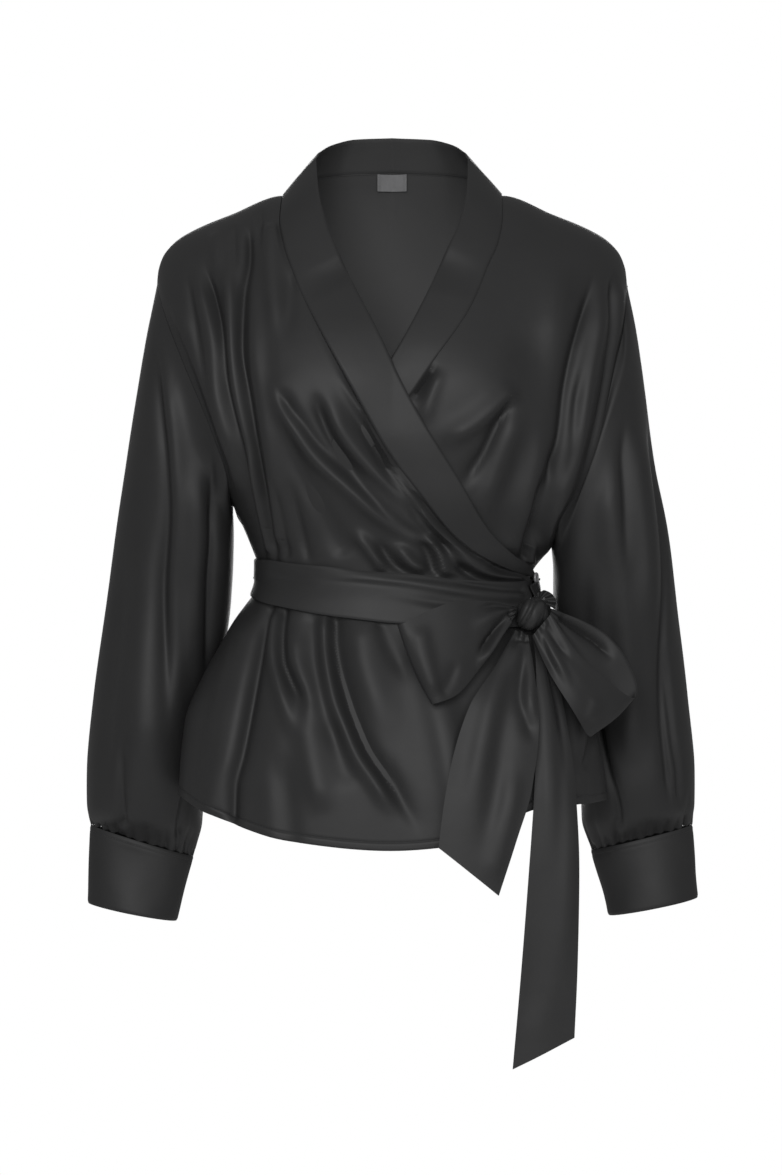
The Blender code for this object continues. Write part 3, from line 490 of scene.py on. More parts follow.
def speckled(name, low, high, scale, **constants):
    """A finish whose colour wanders between two tones, and the coordinates it goes by."""
    finish = Finish(name, **constants)
    place = finish.node("ShaderNodeTexCoord", {}, {})["Object"]
    tone = finish.colour(finish.noise(place, scale), low, high)
    finish.fill(finish.shader, {"Base Color": tone})
    return finish, place


def satin_finish(name, low, high, gloss, grain, painted_light=0.0, **constants):
    """Satin: close warp threads down the piece, slight crepe grain, patches of handling, and where
    asked a share of painted light that makes the colour paler round one height.
    """
    finish = Finish(name, **constants)
    place = finish.node("ShaderNodeTexCoord", {}, {})
    cloth = place["UV"]
    drawn_out = {"Vector": cloth, "Scale": (2600.0, 300.0, 1.0)}
    threads = finish.node("ShaderNodeMapping", {}, drawn_out)
    warp = finish.noise(threads["Vector"], 1.0, 2.0)
    crepe = finish.noise(cloth, 900.0, 3.0, 0.6)
    handled = finish.noise(place["Object"], 26.0, 3.0)
    spread = handled * 0.5 + warp * 0.3 + crepe * 0.2
    # Painted light: a share of the colour grows paler towards the foot of the V neck, standing in
    # for light that the shaded inside there does not get.
    if painted_light:
        height = finish.node("ShaderNodeSeparateXYZ", {}, {"Vector": place["Object"]})["Z"]
        away = height.math("ABSOLUTE", height + PAINTED_LIGHT_Z)
        limits = {"Value": away, "From Min": 0.19, "From Max": 0.0}
        pale = finish.node("ShaderNodeMapRange", {}, limits)["Result"]
        spread = spread * (1 - painted_light) + painted_light * pale
    finish.fill(
        finish.shader,
        {
            "Base Color": finish.colour(spread, low, high),
            "Roughness": gloss[0] + (gloss[1] - gloss[0]) * handled,
        },
    )
    rumple = finish.noise(place["Object"], 55.0, 2.0)
    soft = finish.bump(rumple, 0.0006, 0.35)
    fine = finish.bump(crepe, 0.00004 * grain, 0.6, soft)
    finish.fill(finish.shader, {"Normal": finish.bump(warp, 0.00003 * grain, 0.6, fine)})
    return finish.material


SATIN = satin_finish(
    "satin_face", (0.021, 0.021, 0.0213), (0.031, 0.031, 0.0314), (0.46, 0.56), 1.0,
    Specular_IOR_Level=0.30,
)
# The reverse carries painted light: 0.8 of its colour pales towards the foot of the V neck,
# standing in for light that the inside lacks.
REVERSE = satin_finish(
    "satin_reverse", (0.048, 0.048, 0.0484), (0.150, 0.150, 0.1508), (0.70, 0.80), 2.5,
    painted_light=0.8, Specular_IOR_Level=0.20,
)


DOUBLED = (SATIN, SATIN)  # for strips of doubled cloth, which have no reverse


def shell(name, outer, thickness=CLOTH, tube=False, finishes=(SATIN, REVERSE)):
    """A closed sheet of cloth under a grid of points, with its own cloth coordinates in metres."""
    rows, columns = outer.shape[:2]
    thickness = np.broadcast_to(np.asarray(thickness, float), (rows, columns))
    inner = outer - outward(outer, tube) * thickness[..., None]
    index = np.arange(rows * columns).reshape(rows, columns)
    ring = np.concatenate([outer, outer[:, :1]], axis=1) if tube else outer
    if tube:
        index = np.concatenate([index, index[:, :1]], axis=1)
    under = index + rows * columns
    corners = [index[:-1, :-1], index[1:, :-1], index[1:, 1:], index[:-1, 1:]]
    faces = [np.stack(corners, axis=-1).reshape(-1, 4)]
    faces.append(np.stack([c + rows * columns for c in corners[::-1]], axis=-1).reshape(-1, 4))
    rims = [(index[0, :-1], index[0, 1:], under[0, 1:], under[0, :-1])]
    rims.append((index[-1, 1:], index[-1, :-1], under[-1, :-1], under[-1, 1:]))
    if not tube:
        rims.append((index[1:, 0], index[:-1, 0], under[:-1, 0], under[1:, 0]))
        rims.append((index[:-1, -1], index[1:, -1], under[1:, -1], under[:-1, -1]))
    faces += [np.stack(rim, axis=-1) for rim in rims]
    wide = np.linalg.norm(np.diff(ring, axis=1), axis=-1)
    long = np.linalg.norm(np.diff(ring, axis=0), axis=-1)
    u = np.concatenate([np.zeros((rows, 1)), np.cumsum(wide, axis=1)], axis=1)
    v = np.concatenate([np.zeros((1, ring.shape[1])), np.cumsum(long, axis=0)], axis=0)
    u = u - u.mean(axis=1, keepdims=True)
    cloth = np.stack([u, -v], axis=-1)
    spots = [cloth[:-1, :-1], cloth[1:, :-1], cloth[1:, 1:], cloth[:-1, 1:]]
    uv = [np.stack(spots, axis=2).reshape(-1, 2), np.stack(spots[::-1], axis=2).reshape(-1, 2)]
    ends = [(cloth[0, :-1], cloth[0, 1:]), (cloth[-1, 1:], cloth[-1, :-1])]
    if not tube:
        ends += [(cloth[1:, 0], cloth[:-1, 0]), (cloth[:-1, -1], cloth[1:, -1])]
    uv += [np.stack([a, b, b, a], axis=1).reshape(-1, 2) for a, b in ends]
    mesh = bpy.data.meshes.new(name)
    points = np.concatenate([outer.reshape(-1, 3), inner.reshape(-1, 3)])
    mesh.from_pydata(points.tolist(), [], np.concatenate(faces).tolist())
    layer = mesh.uv_layers.new(name="cloth")
    layer.uv.foreach_set("vector", np.concatenate(uv).astype(np.float32).ravel())
    for finish in finishes:
        mesh.materials.append(finish)
    inside = np.zeros(len(mesh.polygons), np.int32)
    inside[len(faces[0]):2 * len(faces[0])] = len(finishes) - 1
    mesh.polygons.foreach_set("material_index", inside)
    mesh.shade_smooth()
    mesh.set_sharp_from_angle(angle=math.radians(62))
    piece = bpy.data.objects.new(name, mesh)
    bpy.context.scene.collection.objects.link(piece)
    return piece


def stands_for(piece, node):
    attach(piece, "root")
    if node:
        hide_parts(node)


def stitch_tree():
    """Stitches along a curve: short rounded threads lying in the cloth."""
    tree = bpy.data.node_groups.new("stitches", "GeometryNodeTree")
    tree.interface.new_socket("Geometry", in_out="INPUT", socket_type="NodeSocketGeometry")
    for name, size in (("Pitch", 0.0028), ("Stitch", 0.0021), ("Thread", 0.00019)):
        socket = tree.interface.new_socket(name, in_out="INPUT", socket_type="NodeSocketFloat")
        socket.default_value = size
    tree.interface.new_socket("Finish", in_out="INPUT", socket_type="NodeSocketMaterial")
    tree.interface.new_socket("Geometry", in_out="OUTPUT", socket_type="NodeSocketGeometry")
    node, link = tree.nodes.new, tree.links.new
    start, end = node("NodeGroupInput"), node("NodeGroupOutput")
    line = node("GeometryNodeMeshToCurve")
    link(start.outputs["Geometry"], line.inputs["Mesh"])
    places = node("GeometryNodeResampleCurve")
    places.mode = "LENGTH"
    link(line.outputs["Curve"], places.inputs["Curve"])
    link(start.outputs["Pitch"], places.inputs["Length"])
    points = node("GeometryNodeCurveToPoints")
    points.mode = "EVALUATED"
    link(places.outputs["Curve"], points.inputs["Curve"])
    thread = node("GeometryNodeMeshUVSphere")
    thread.inputs["Segments"].default_value = 6
    thread.inputs["Rings"].default_value = 5
    thread.inputs["Radius"].default_value = 1.0
    size = node("ShaderNodeCombineXYZ")
    half = node("ShaderNodeMath")
    half.operation = "MULTIPLY"
    half.inputs[1].default_value = 0.5
    link(start.outputs["Stitch"], half.inputs[0])
    for axis in "XY":
        link(start.outputs["Thread"], size.inputs[axis])
    link(half.outputs[0], size.inputs["Z"])
    copies = node("GeometryNodeInstanceOnPoints")
    link(points.outputs["Points"], copies.inputs["Points"])
    link(thread.outputs["Mesh"], copies.inputs["Instance"])
    link(points.outputs["Rotation"], copies.inputs["Rotation"])
    link(size.outputs["Vector"], copies.inputs["Scale"])
    real, finish = node("GeometryNodeRealizeInstances"), node("GeometryNodeSetMaterial")
    link(copies.outputs["Instances"], real.inputs["Geometry"])
    link(real.outputs["Geometry"], finish.inputs["Geometry"])
    link(start.outputs["Finish"], finish.inputs["Material"])
    link(finish.outputs["Geometry"], end.inputs["Geometry"])
    return tree


STITCHES = stitch_tree()
thread_finish, thread_place = speckled(
    "sewing_thread", (0.020, 0.020, 0.021), (0.045, 0.045, 0.046), 420.0,
    Roughness=0.5, Specular_IOR_Level=0.5,
)
twist = thread_finish.bump(thread_finish.noise(thread_place, 3000.0), 0.00005, 0.6)
thread_finish.fill(thread_finish.shader, {"Normal": twist})
THREAD = thread_finish.material


def stitched(name, lines, pitch=0.0028, stitch=0.0021, thread=0.00019, finish=THREAD):
    """One piece that holds the stitches along one or more lines of points."""
    mesh = bpy.data.meshes.new(name)
    points = [tuple(point) for line in lines for point in line]
    edges, base = [], 0
    for line in lines:
        edges += [(base + place, base + place + 1) for place in range(len(line) - 1)]
        base += len(line)
    mesh.from_pydata(points, edges, [])
    guide = bpy.data.objects.new(name + "_line", mesh)
    bpy.context.scene.collection.objects.link(guide)
    modifier = guide.modifiers.new("Stitches", "NODES")
    modifier.node_group = STITCHES
    sizes = {"Pitch": pitch, "Stitch": stitch, "Thread": thread, "Finish": finish}
    for item in STITCHES.interface.items_tree:
        if item.item_type == "SOCKET" and item.in_out == "INPUT" and item.name in sizes:
            modifier[item.identifier] = sizes[item.name]
    ready = guide.evaluated_get(bpy.context.evaluated_depsgraph_get())
    made = bpy.data.meshes.new_from_object(ready)
    made.name = name
    made.shade_smooth()
    piece = bpy.data.objects.new(name, made)
    bpy.context.scene.collection.objects.link(piece)
    bpy.data.objects.remove(guide, do_unlink=True)
    stands_for(piece, None)
    return piece


BACK_CREASES = crease_table(
    ((-178, -70, -172, -180, -140, -330), 4.5, 11, 8, 2, 0.25, 0.15),
    ((-166, -80, -158, -190, -128, -330), -3, 4, 8, 1.3, 0.3, 0.15),
    ((-138, -110, -134, -220, -102, -345), 4.2, 7, 10, 2, 0.35, 0.15),
    ((180, -68, 176, -190, 138, -335), 4.8, 9, 12, 2, 0.25, 0.15),
    ((164, -86, 158, -200, 122, -338), -3.2, 8, 4, 1.3, 0.3, 0.15),
    ((140, -140, 132, -240, 94, -345), 3.8, 10, 7, 2, 0.4, 0.15),
    ((-92, -210, -78, -280, -70, -345), 4.5, 10, 8, 2, 0.5, 0.15),
    ((-70, -236, -58, -290, -54, -345), -3, 5, 7, 1.4, 0.5, 0.15),
    ((-30, -190, -34, -270, -30, -345), 3.6, 9, 9, 2, 0.55, 0.15),
    ((10, -232, 8, -290, 4, -345), 4.2, 8, 6, 2, 0.5, 0.15),
    ((24, -250, 20, -300, 16, -345), -2.6, 5, 6, 1.4, 0.5, 0.15),
    ((66, -205, 56, -280, 52, -345), 4.5, 9, 8, 2, 0.5, 0.15),
    ((-110, -385, -138, -470, -156, -566), 7.5, 14, 11, 2, 0.2, 0),
    ((-94, -385, -118, -470, -128, -566), -4, 6, 9, 1.4, 0.15, 0),
    ((-66, -385, -84, -470, -92, -570), 7.8, 13, 12, 2, 0.2, 0),
    ((-44, -385, -54, -450, -52, -520), -4, 7, 7, 1.4, 0.15, 0.45),
    ((-20, -385, -24, -470, -30, -573), 7, 14, 12, 2, 0.2, 0),
    ((4, -385, 6, -460, 0, -573), -4.2, 6, 8, 1.4, 0.15, 0),
    ((30, -385, 38, -470, 38, -572), 7.6, 12, 14, 2, 0.2, 0),
    ((54, -385, 66, -440, 70, -500), -3.6, 6, 7, 1.4, 0.15, 0.5),
    ((78, -385, 96, -470, 104, -569), 7.8, 12, 14, 2, 0.2, 0),
    ((102, -390, 128, -470, 140, -567), -4, 8, 6, 1.4, 0.15, 0),
    ((118, -390, 148, -470, 162, -566), 6, 10, 12, 2, 0.2, 0),
)
BACK_ROWS, BACK_COLUMNS = (ARM_ROWS, 34, 84), (44, 76)


def back_grid():
    neck_x = np.linspace(-NECK_X, NECK_X, BACK_COLUMNS[1] + 1)
    neck = np.stack([neck_x, shoulder_z(neck_x, 1)], axis=1)
    right, left = (spaced(shoulder_line(side, 1), 1, BACK_COLUMNS[0]) for side in (-1, 1))
    top = np.concatenate([right, neck[1:], left[::-1][1:]])
    hem_x = float(half_width(HEM[0].back, 1))
    bottom = hem_line(-hem_x, hem_x, "back", 2 * BACK_COLUMNS[0] + BACK_COLUMNS[1])
    outer = [outer_edge(side, BACK_ROWS, float(bottom[0, 1])) for side in (-1, 1)]
    x, z = patch(top, bottom, *outer)
    z[0] = shoulder_z(x[0], 1)
    flat = on_form(x, z, 1, np.zeros(x.shape))
    waist = sum(BACK_ROWS[:2])
    sewn = far_from(flat, [flat[:1], flat[:, :1], flat[:, -1:]])
    lift = eased(crease_height(x, z, BACK_CREASES)) * sash_hold(x, z, 0.30)
    lift += waves(flat, (0.07, 0.07, 0.20), 0.0020, 1) * sash_hold(x, z, 0.2)
    grid = on_form(x, z, 1, lift * ramp(sewn, 0.0, 0.022))
    grid[BACK_ROWS[0]:, [0, -1], 1] += 0.0002
    return grid[:, ::-1]


back_cloth = hemmed(back_grid())
back = shell("back_cloth", back_cloth)
stands_for(back, "back")
stitched("back_hem_stitches", [back_cloth[HEM_ROW] + outward(back_cloth)[HEM_ROW] * 0.0001])


# ---- Fronts ---------------------------------------------------------------------------------
# Two satin fronts cross at the bust: the wearer's left goes under, the right over it. Each is
# eased into the shoulder, pulled in soft folds toward the knot at the wearer's left waist, and
# flares under the sash into a curved hem with the same narrow double turning.

# The wrap: where the neckband joins each front, and the band's free edge, in front view.
# `rest` is 1 where the band lies on the chest and 0 where it stands round the neck.
Band = namedtuple("Band", "seam_x seam_z free_x free_z free_y rest")
UPPER_BAND = [
    Band(0.1205, -0.3560, 0.1250, -0.3450, 0.000, 1.0),
    Band(0.0985, -0.3470, 0.1080, -0.3350, 0.000, 1.0),
    Band(0.0683, -0.3310, 0.0850, -0.3110, 0.000, 1.0),
    Band(0.0326, -0.2915, 0.0600, -0.2690, 0.000, 1.0),
    Band(-0.0054, -0.2420, 0.0280, -0.2170, 0.000, 1.0),
    Band(-0.0290, -0.2030, 0.0070, -0.1780, 0.000, 1.0),
    Band(-0.0508, -0.1650, -0.0110, -0.1400, 0.000, 1.0),
    Band(-0.0757, -0.1155, -0.0340, -0.0930, 0.000, 1.0),
    Band(-0.0900, -0.0820, -0.0480, -0.0620, -0.076, 0.6),
    Band(-0.1000, -0.0530, -0.0590, -0.0350, -0.066, 0.2),
    Band(-0.1045, -0.0270, -0.0680, 0.0000, -0.045, 0.0),
    Band(-0.1030, 0.0000, -0.0715, 0.0340, -0.006, 0.0),
]
LOWER_BAND = [
    Band(0.1030, 0.0000, 0.0715, 0.0340, -0.006, 0.0),
    Band(0.1025, -0.0250, 0.0695, 0.0020, -0.040, 0.0),
    Band(0.0980, -0.0500, 0.0615, -0.0320, -0.064, 0.2),
    Band(0.0895, -0.0700, 0.0515, -0.0540, -0.074, 0.6),
    Band(0.0720, -0.1120, 0.0320, -0.0980, 0.000, 1.0),
    Band(0.0363, -0.1650, 0.0060, -0.1480, 0.000, 1.0),
    Band(0.0164, -0.1945, -0.0140, -0.1790, 0.000, 1.0),
    Band(-0.0300, -0.2620, -0.0600, -0.2420, 0.000, 1.0),
    Band(-0.0760, -0.3400, -0.1020, -0.3220, 0.000, 1.0),
]
UPPER_EDGE_X = 0.1258
LOWER_EDGE_X = -0.080
WRAP_END_Z = {-1: -0.362, 1: -0.352}
LAYER = 0.0049  # how far the upper front lies off the lower one
TUCK = 0.0024  # how far the lower front sinks under it at the waist
FOLD_DEPTH = 1.06  # how much deeper the fronts' creases hang than their rows say
SEAM = 0.0002  # the line that stays open between two pieces that are sewn together

UPPER_CREASES = crease_table(
    # the puffed side panel and the long folds that fall from the shoulder to the waist
    ((-205, -100, -178, -166, -152, -238, -139, -290), 3.2, 4, 11, 2, 0.15, 0.15),
    ((-184, -75, -172, -110, -163, -150, -160, -185, -150, -225, -141, -265),
      3.9, 10, 4, 2, 0.15, 0.25),
    ((-176, -63, -164, -100, -157, -134, -153, -176, -144, -214, -136, -243, -125, -302,
      -118, -338, -113, -362), -6.1, 3.8, 3, 1.15, 0.12, 0.05),
    ((-155, -63, -149, -100, -146, -147, -142, -188, -134, -230, -123, -290, -114, -345),
      4.5, 5.5, 5, 2, 0.12, 0.25),
    ((-134, -30, -132, -63, -137, -100, -139, -147, -132, -197, -125, -239, -118, -277, -108, -330,
      -102, -360), -6.8, 3.2, 4.5, 1.15, 0.05, 0.05),
    ((-124, -80, -127, -125, -125, -165, -119, -205, -111, -255, -105, -300, -102, -338),
      4.8, 5, 9, 2, 0.3, 0.08),
    ((-113, -30, -111, -75, -107, -113, -103, -150), 4.3, 7, 9, 2, 0.05, 0.4),
    ((-92, -71, -94, -113, -98, -151), -2.9, 7, 7, 1.6, 0.3, 0.4),
    ((-147, -34, -146, -52, -143, -78), -2.7, 3, 3, 1.2, 0.1, 0.6),
    ((-122, -16, -122, -38, -124, -66), -2.7, 3, 3, 1.2, 0.1, 0.6),
    ((-166, -36, -163, -58, -158, -88), 2.2, 4, 4, 2, 0.1, 0.6),
    ((-190, -74, -183, -115, -175, -155, -163, -205), -3.2, 3, 3.6, 1.3, 0.2, 0.3),
    ((-131, -235, -121, -290, -114, -338), 3.7, 3, 3, 2, 0.3, 0.06),
    ((-108, -262, -99, -305, -94, -343), -4.1, 3, 3.4, 1.2, 0.35, 0.05),
    # the bust: ridges and troughs that swing across to the knot
    ((-112, -172, -100, -192, -86, -220, -68, -247, -44, -270, -14, -295, 19, -314, 45, -326),
      8.4, 8.5, 13, 2, 0.25, 0.12),
    ((-103.5, -185, -92.5, -203, -80, -219, -66.5, -237.5, -34.3, -269.6, 7.3, -309, 38, -326),
      -8.1, 3.4, 6, 1.3, 0.1, 0.1),
    ((-106, -200, -94, -236, -80, -268, -60, -302, -40, -340), -3.4, 8, 9, 2, 0.35, 0.06),
    ((-94, -262, -86, -298, -74, -345), -3.2, 3.6, 4, 1.4, 0.45, 0.05),
    ((-72, -190, -58, -226, -42, -252, -20, -276), -6.8, 4, 3.6, 1.2, 0.25, 0.35),
    ((-64, -184, -48, -224, -23, -255, 2, -278, 26, -300), 7.1, 5, 9, 2, 0.3, 0.15),
    ((-44, -184, -23, -226, -4, -260, 15, -288, 33, -314, 52, -335, 66, -360),
      -7.8, 4.2, 3.6, 1.15, 0.25, 0.05),
    ((-52, -168, -29, -207, -6, -243, 5, -262, 21, -288, 39, -311, 59, -330, 78, -343, 100, -352),
      6.7, 4.2, 3.2, 2, 0.25, 0.1),
    ((1, -250, 20, -281, 44, -309, 67, -331, 92, -347, 118, -354), -7.3, 3, 3, 1.1, 0.12, 0.1),
    ((52, -334, 73, -349, 94, -357, 118, -359), 5.6, 3, 2.8, 2, 0.2, 0.06),
    ((58, -345, 78, -361, 104, -366), -5.4, 3, 3, 1.1, 0.2, 0.06),
    # the cloth that bunches on the sash's upper edge
    ((30, -318, 39, -330, 44, -341, 47, -358), 7.1, 3.6, 3.4, 2, 0.25, 0.06),
    ((24, -322, 33, -337, 37, -357), -7.6, 3, 3, 1.15, 0.25, 0.06),
    ((4, -326, 16, -344, 30, -353), 7.1, 4.5, 4.5, 2, 0.25, 0.1),
    ((-14, -322, -2, -344, 12, -356), -6.6, 3.4, 3.4, 1.15, 0.3, 0.06),
    ((-36, -312, -18, -335, -6, -352), 5.4, 5, 5, 2, 0.35, 0.06),
    ((50, -328, 55, -343, 60, -358), 5.8, 3, 3, 2, 0.25, 0.06),
    # the skirt below the sash
    ((-128, -380, -144, -430, -156, -490, -166, -565), 5, 12, 10, 2, 0.2, 0),
    ((-118, -378, -128, -420, -137, -470, -146, -530, -151, -575), 3.4, 9, 6, 2, 0.2, 0.25),
    ((-108, -376, -118, -411, -125, -448, -132, -487, -138, -518, -145, -550, -146, -576),
      -8.6, 3.4, 5.2, 1.2, 0.06, 0),
    ((-107, -380, -108, -420, -102, -452, -94, -480, -86, -510), 5.5, 6, 5, 2, 0.15, 0.35),
    ((-96, -376, -100, -411, -99, -434, -92, -452, -84, -466, -74, -482),
      -8.2, 4, 4, 1.2, 0.08, 0.25),
    ((-90, -400, -87, -434, -76, -467, -64, -500), 4.2, 7, 8, 2, 0.25, 0.35),
    ((-68, -386, -67, -425, -62, -459, -52, -495, -38, -530), -4.4, 8, 5, 1.8, 0.1, 0.3),
    ((-60, -386, -59, -424, -54, -463, -43, -495, -30, -521, -14, -543, 6, -575),
      7.2, 7, 5, 2, 0.1, 0.15),
    ((-53, -386, -53, -415, -49, -440, -42, -465, -32, -493, -22, -516, -6, -540, 12, -568,
      30, -596), -9.6, 4, 7.6, 1.2, 0.06, 0.3),
    ((-30, -392, -26, -430, -14, -470, 4, -510), 4.2, 10, 14, 2, 0.2, 0.45),
    ((-13, -392, -3, -420, 8, -442, 15, -462), -4.1, 3.6, 5.8, 1.25, 0.15, 0.4),
    ((20, -400, 34, -450, 50, -520, 60, -590), 5, 12, 14, 2, 0.2, 0),
    ((-104, -510, -96, -555, -92, -594), -3.1, 10, 10, 2, 0.4, 0),
    ((-82, -470, -77, -496, -70, -535, -60, -575), 4.4, 10, 11, 2, 0.3, 0.25),
    ((-54, -480, -47, -514, -36, -552), -3.1, 9, 9, 2, 0.35, 0.3),
)
LOWER_CREASES = crease_table(
    ((117, -189, 94, -207, 69, -226, 40, -239), 7.1, 11, 4, 2, 0.15, 0.3),
    ((112, -193, 98, -217, 84, -246, 60, -280), -7.6, 4, 3, 1.1, 0.12, 0.25),
    ((118, -205, 104, -240, 90, -276, 78, -306), 3.7, 7, 9, 2, 0.25, 0.3),
    ((37, -166, 27, -184, 18, -198), -6.6, 3, 3, 1.15, 0.15, 0.15),
    ((43, -170, 34, -196, 27, -222), 3.9, 3, 5, 2, 0.2, 0.35),
    ((147, -250, 141, -285, 134, -318, 128, -348), 5.6, 2.8, 2.8, 2, 0.25, 0.05),
    ((139, -262, 134, -290, 128, -320, 124, -346), -6.1, 3, 3, 1.1, 0.25, 0.05),
    ((126, -220, 118, -258, 107, -290, 95, -330), -2.6, 12, 12, 2, 0.35, 0.2),
    ((140, -215, 130, -262, 118, -310, 110, -345), 4.2, 10, 10, 2, 0.35, 0.15),
    ((151, -235, 141, -280, 133, -313, 127, -345), -6.3, 3.6, 4.3, 1.25, 0.3, 0.1),
    ((189, -70, 178, -116, 168, -152, 161, -188, 156, -228, 147, -266, 131, -337),
      -8.3, 5.8, 3.6, 1.25, 0.2, 0.08),
    ((196, -80, 190, -130, 180, -180, 171, -230, 158, -280, 136, -340), 5.5, 5, 7, 2, 0.2, 0.1),
    ((176, -160, 170, -200, 166, -240, 154, -282), -4.1, 3, 3, 1.25, 0.3, 0.3),
    ((205, -70, 206, -115, 202, -158, 195, -196, 186, -236, 176, -270),
      -6.3, 3, 3, 1.2, 0.15, 0.2),
    ((212, -80, 212, -125, 207, -160, 199, -205), 3, 3, 3, 2, 0.15, 0.3),
    ((131, -120, 131, -175, 138, -220), -3.3, 20, 18, 2, 0.4, 0.4),
    ((160, -60, 152, -110, 148, -170), 4.2, 14, 12, 2, 0.35, 0.45),
    ((150, -395, 166, -450, 172, -510, 172, -565), 5.2, 10, 10, 2, 0.2, 0),
    ((190, -480, 184, -505, 171, -540), -5.7, 4.3, 3.6, 1.25, 0.3, 0.2),
    ((128, -395, 138, -460, 140, -566), -5.4, 5, 5, 1.25, 0.2, 0),
    ((100, -395, 104, -470, 108, -578), 6.2, 12, 12, 2, 0.2, 0),
)
FRONT_COLUMNS = {"upper": 190, "lower": 124}
FRONT_ROWS = {"upper": (ARM_ROWS, 46, 84), "lower": (ARM_ROWS, 38, 84)}


def band_line(table, end_x, end_z):
    """The neckband's seam on a front, from the shoulder down, on to the end of the wrap."""
    rows = sorted(table, key=lambda row: -row.seam_z)
    heights = column(rows, "seam_z") + [end_z]
    z = np.linspace(heights[0], heights[-1], 240)
    return np.stack([smooth(heights, column(rows, "seam_x") + [end_x], z), z], axis=1)


def front_patch(side, table, edge_x, columns, rows):
    """One front: its inner edge is the neckband's seam and then the edge below the waist."""
    top = spaced(shoulder_line(side, -1), -1, columns)
    wrap = spaced(band_line(table, edge_x, WRAP_END_Z[side]), -1, rows[0] + rows[1])
    hem_x = side * float(half_width(HEM[0].front, side))
    bottom = hem_line(hem_x, edge_x, "front", columns)
    outer = outer_edge(side, rows, float(bottom[0, 1]))
    inner = np.concatenate([wrap, spaced(np.array([wrap[-1], bottom[-1]]), -1, rows[2])[1:]])
    x, z = patch(top, bottom, outer, inner)
    z[0] = shoulder_z(x[0], -1)
    return x, z


def upper_lift(x, z):
    """How far the upper front lies off the torso form: more where it covers the lower one."""
    return LAYER * ramp(z, -0.070, -0.140) * ramp(x, -0.132, -0.098)


def lower_lift(x, z):
    """The lower front, sunk in where it runs under the upper one at the waist."""
    return -TUCK * ramp(z, -0.290, -0.330) * ramp(x, 0.134, 0.122)


def covered(x, z):
    """1 on the lower front where it shows, down to 0 where the upper front lies over it."""
    seam = band_line(UPPER_BAND, UPPER_EDGE_X, WRAP_END_Z[-1])[::-1]
    across = np.interp(z, seam[:, 1], seam[:, 0])
    beyond = np.where(z < WRAP_END_Z[-1] - 0.004, ramp(x, 0.13, 0.15), 1.0)
    return ramp(x - across, 0.004, 0.020) * beyond


def front_grid(side, table, edge_x, name, creases, lift):
    x, z = front_patch(side, table, edge_x, FRONT_COLUMNS[name], FRONT_ROWS[name])
    flat = on_form(x, z, -1, lift(x, z))
    arm, waist = FRONT_ROWS[name][0], sum(FRONT_ROWS[name][:2])
    sides = far_from(flat, [flat[:1], flat[:, :1]])
    wrap = far_from(flat, [flat[: waist + 1, -1:]])
    folded = FOLD_DEPTH * eased(crease_height(x, z, creases))
    folded += waves(flat, (0.06, 0.06, 0.16), 0.0016, 2 + side)
    folded *= sash_hold(x, z, 0.45) * ramp(sides, 0.0, 0.012) * ramp(wrap, 0.0, 0.004)
    if name == "lower":
        folded = np.minimum(folded, 0.0015) * (1 - covered(x, z)) * 0.4 + folded * covered(x, z)
    grid = on_form(x, z, -1, lift(x, z) + folded)
    grid[0, :, 1] -= SEAM / 2
    grid[arm:, 0, 1] -= SEAM / 2
    return hemmed(grid if side < 0 else grid[:, ::-1])


lower_cloth = front_grid(1, LOWER_BAND, LOWER_EDGE_X, "lower", LOWER_CREASES, lower_lift)
front_lower = shell("front_lower_cloth", lower_cloth)
stands_for(front_lower, "front_lower")
upper_cloth = front_grid(-1, UPPER_BAND, UPPER_EDGE_X, "upper", UPPER_CREASES, upper_lift)
front_upper = shell("front_upper_cloth", upper_cloth)
stands_for(front_upper, "front_upper")
stitched(
    "front_hem_stitches",
    [cloth[HEM_ROW] + outward(cloth)[HEM_ROW] * 0.0001 for cloth in (upper_cloth, lower_cloth)],
)


# ---- Sleeves --------------------------------------------------------------------------------
# Long full sleeves set into deep dropped armholes. Each is one length of satin joined under
# the arm; it hangs in long folds and is gathered at the wrist, so that it bags over the cuff.

# Sleeve rings from below the armhole to the cuff: the outer and inner ends of each ring in
# front view, its middle depth and its half depth. The armhole itself is the first ring.
Ring = namedtuple("Ring", "outer_x outer_z inner_x inner_z middle_y half_depth")
SLEEVE = {
    -1: [
        Ring(0.2316, -0.135, 0.1490, -0.318, 0.003, 0.060),
        Ring(0.2406, -0.190, 0.1495, -0.345, 0.008, 0.062),
        Ring(0.2508, -0.255, 0.1515, -0.375, 0.016, 0.062),
        Ring(0.2614, -0.320, 0.1560, -0.410, 0.026, 0.060),
        Ring(0.2715, -0.390, 0.1650, -0.452, 0.037, 0.061),
        Ring(0.2822, -0.470, 0.1750, -0.505, 0.045, 0.063),
        Ring(0.2898, -0.540, 0.1800, -0.560, 0.049, 0.063),
        Ring(0.2910, -0.573, 0.1810, -0.592, 0.050, 0.055),
        Ring(0.2880, -0.594, 0.1890, -0.624, 0.048, 0.024),
    ],
    1: [
        Ring(0.2296, -0.135, 0.1515, -0.348, 0.003, 0.060),
        Ring(0.2386, -0.190, 0.1520, -0.366, 0.008, 0.062),
        Ring(0.2488, -0.255, 0.1525, -0.388, 0.016, 0.062),
        Ring(0.2594, -0.320, 0.1570, -0.416, 0.026, 0.060),
        Ring(0.2695, -0.390, 0.1650, -0.454, 0.037, 0.061),
        Ring(0.2804, -0.470, 0.1750, -0.505, 0.045, 0.063),
        Ring(0.2885, -0.540, 0.1800, -0.556, 0.049, 0.063),
        Ring(0.2895, -0.573, 0.1810, -0.588, 0.050, 0.055),
        Ring(0.2868, -0.594, 0.1893, -0.618, 0.048, 0.024),
    ],
}
# How full each ring is across its corners: 1 is an ellipse, less is flatter in front.
SLEEVE_FALL = (0.90, 0.82, 0.76, 0.72, 0.70, 0.70, 0.74, 0.85, 1.0)
SLEEVE_LENGTHS, SLEEVE_ROUND = 160, 208
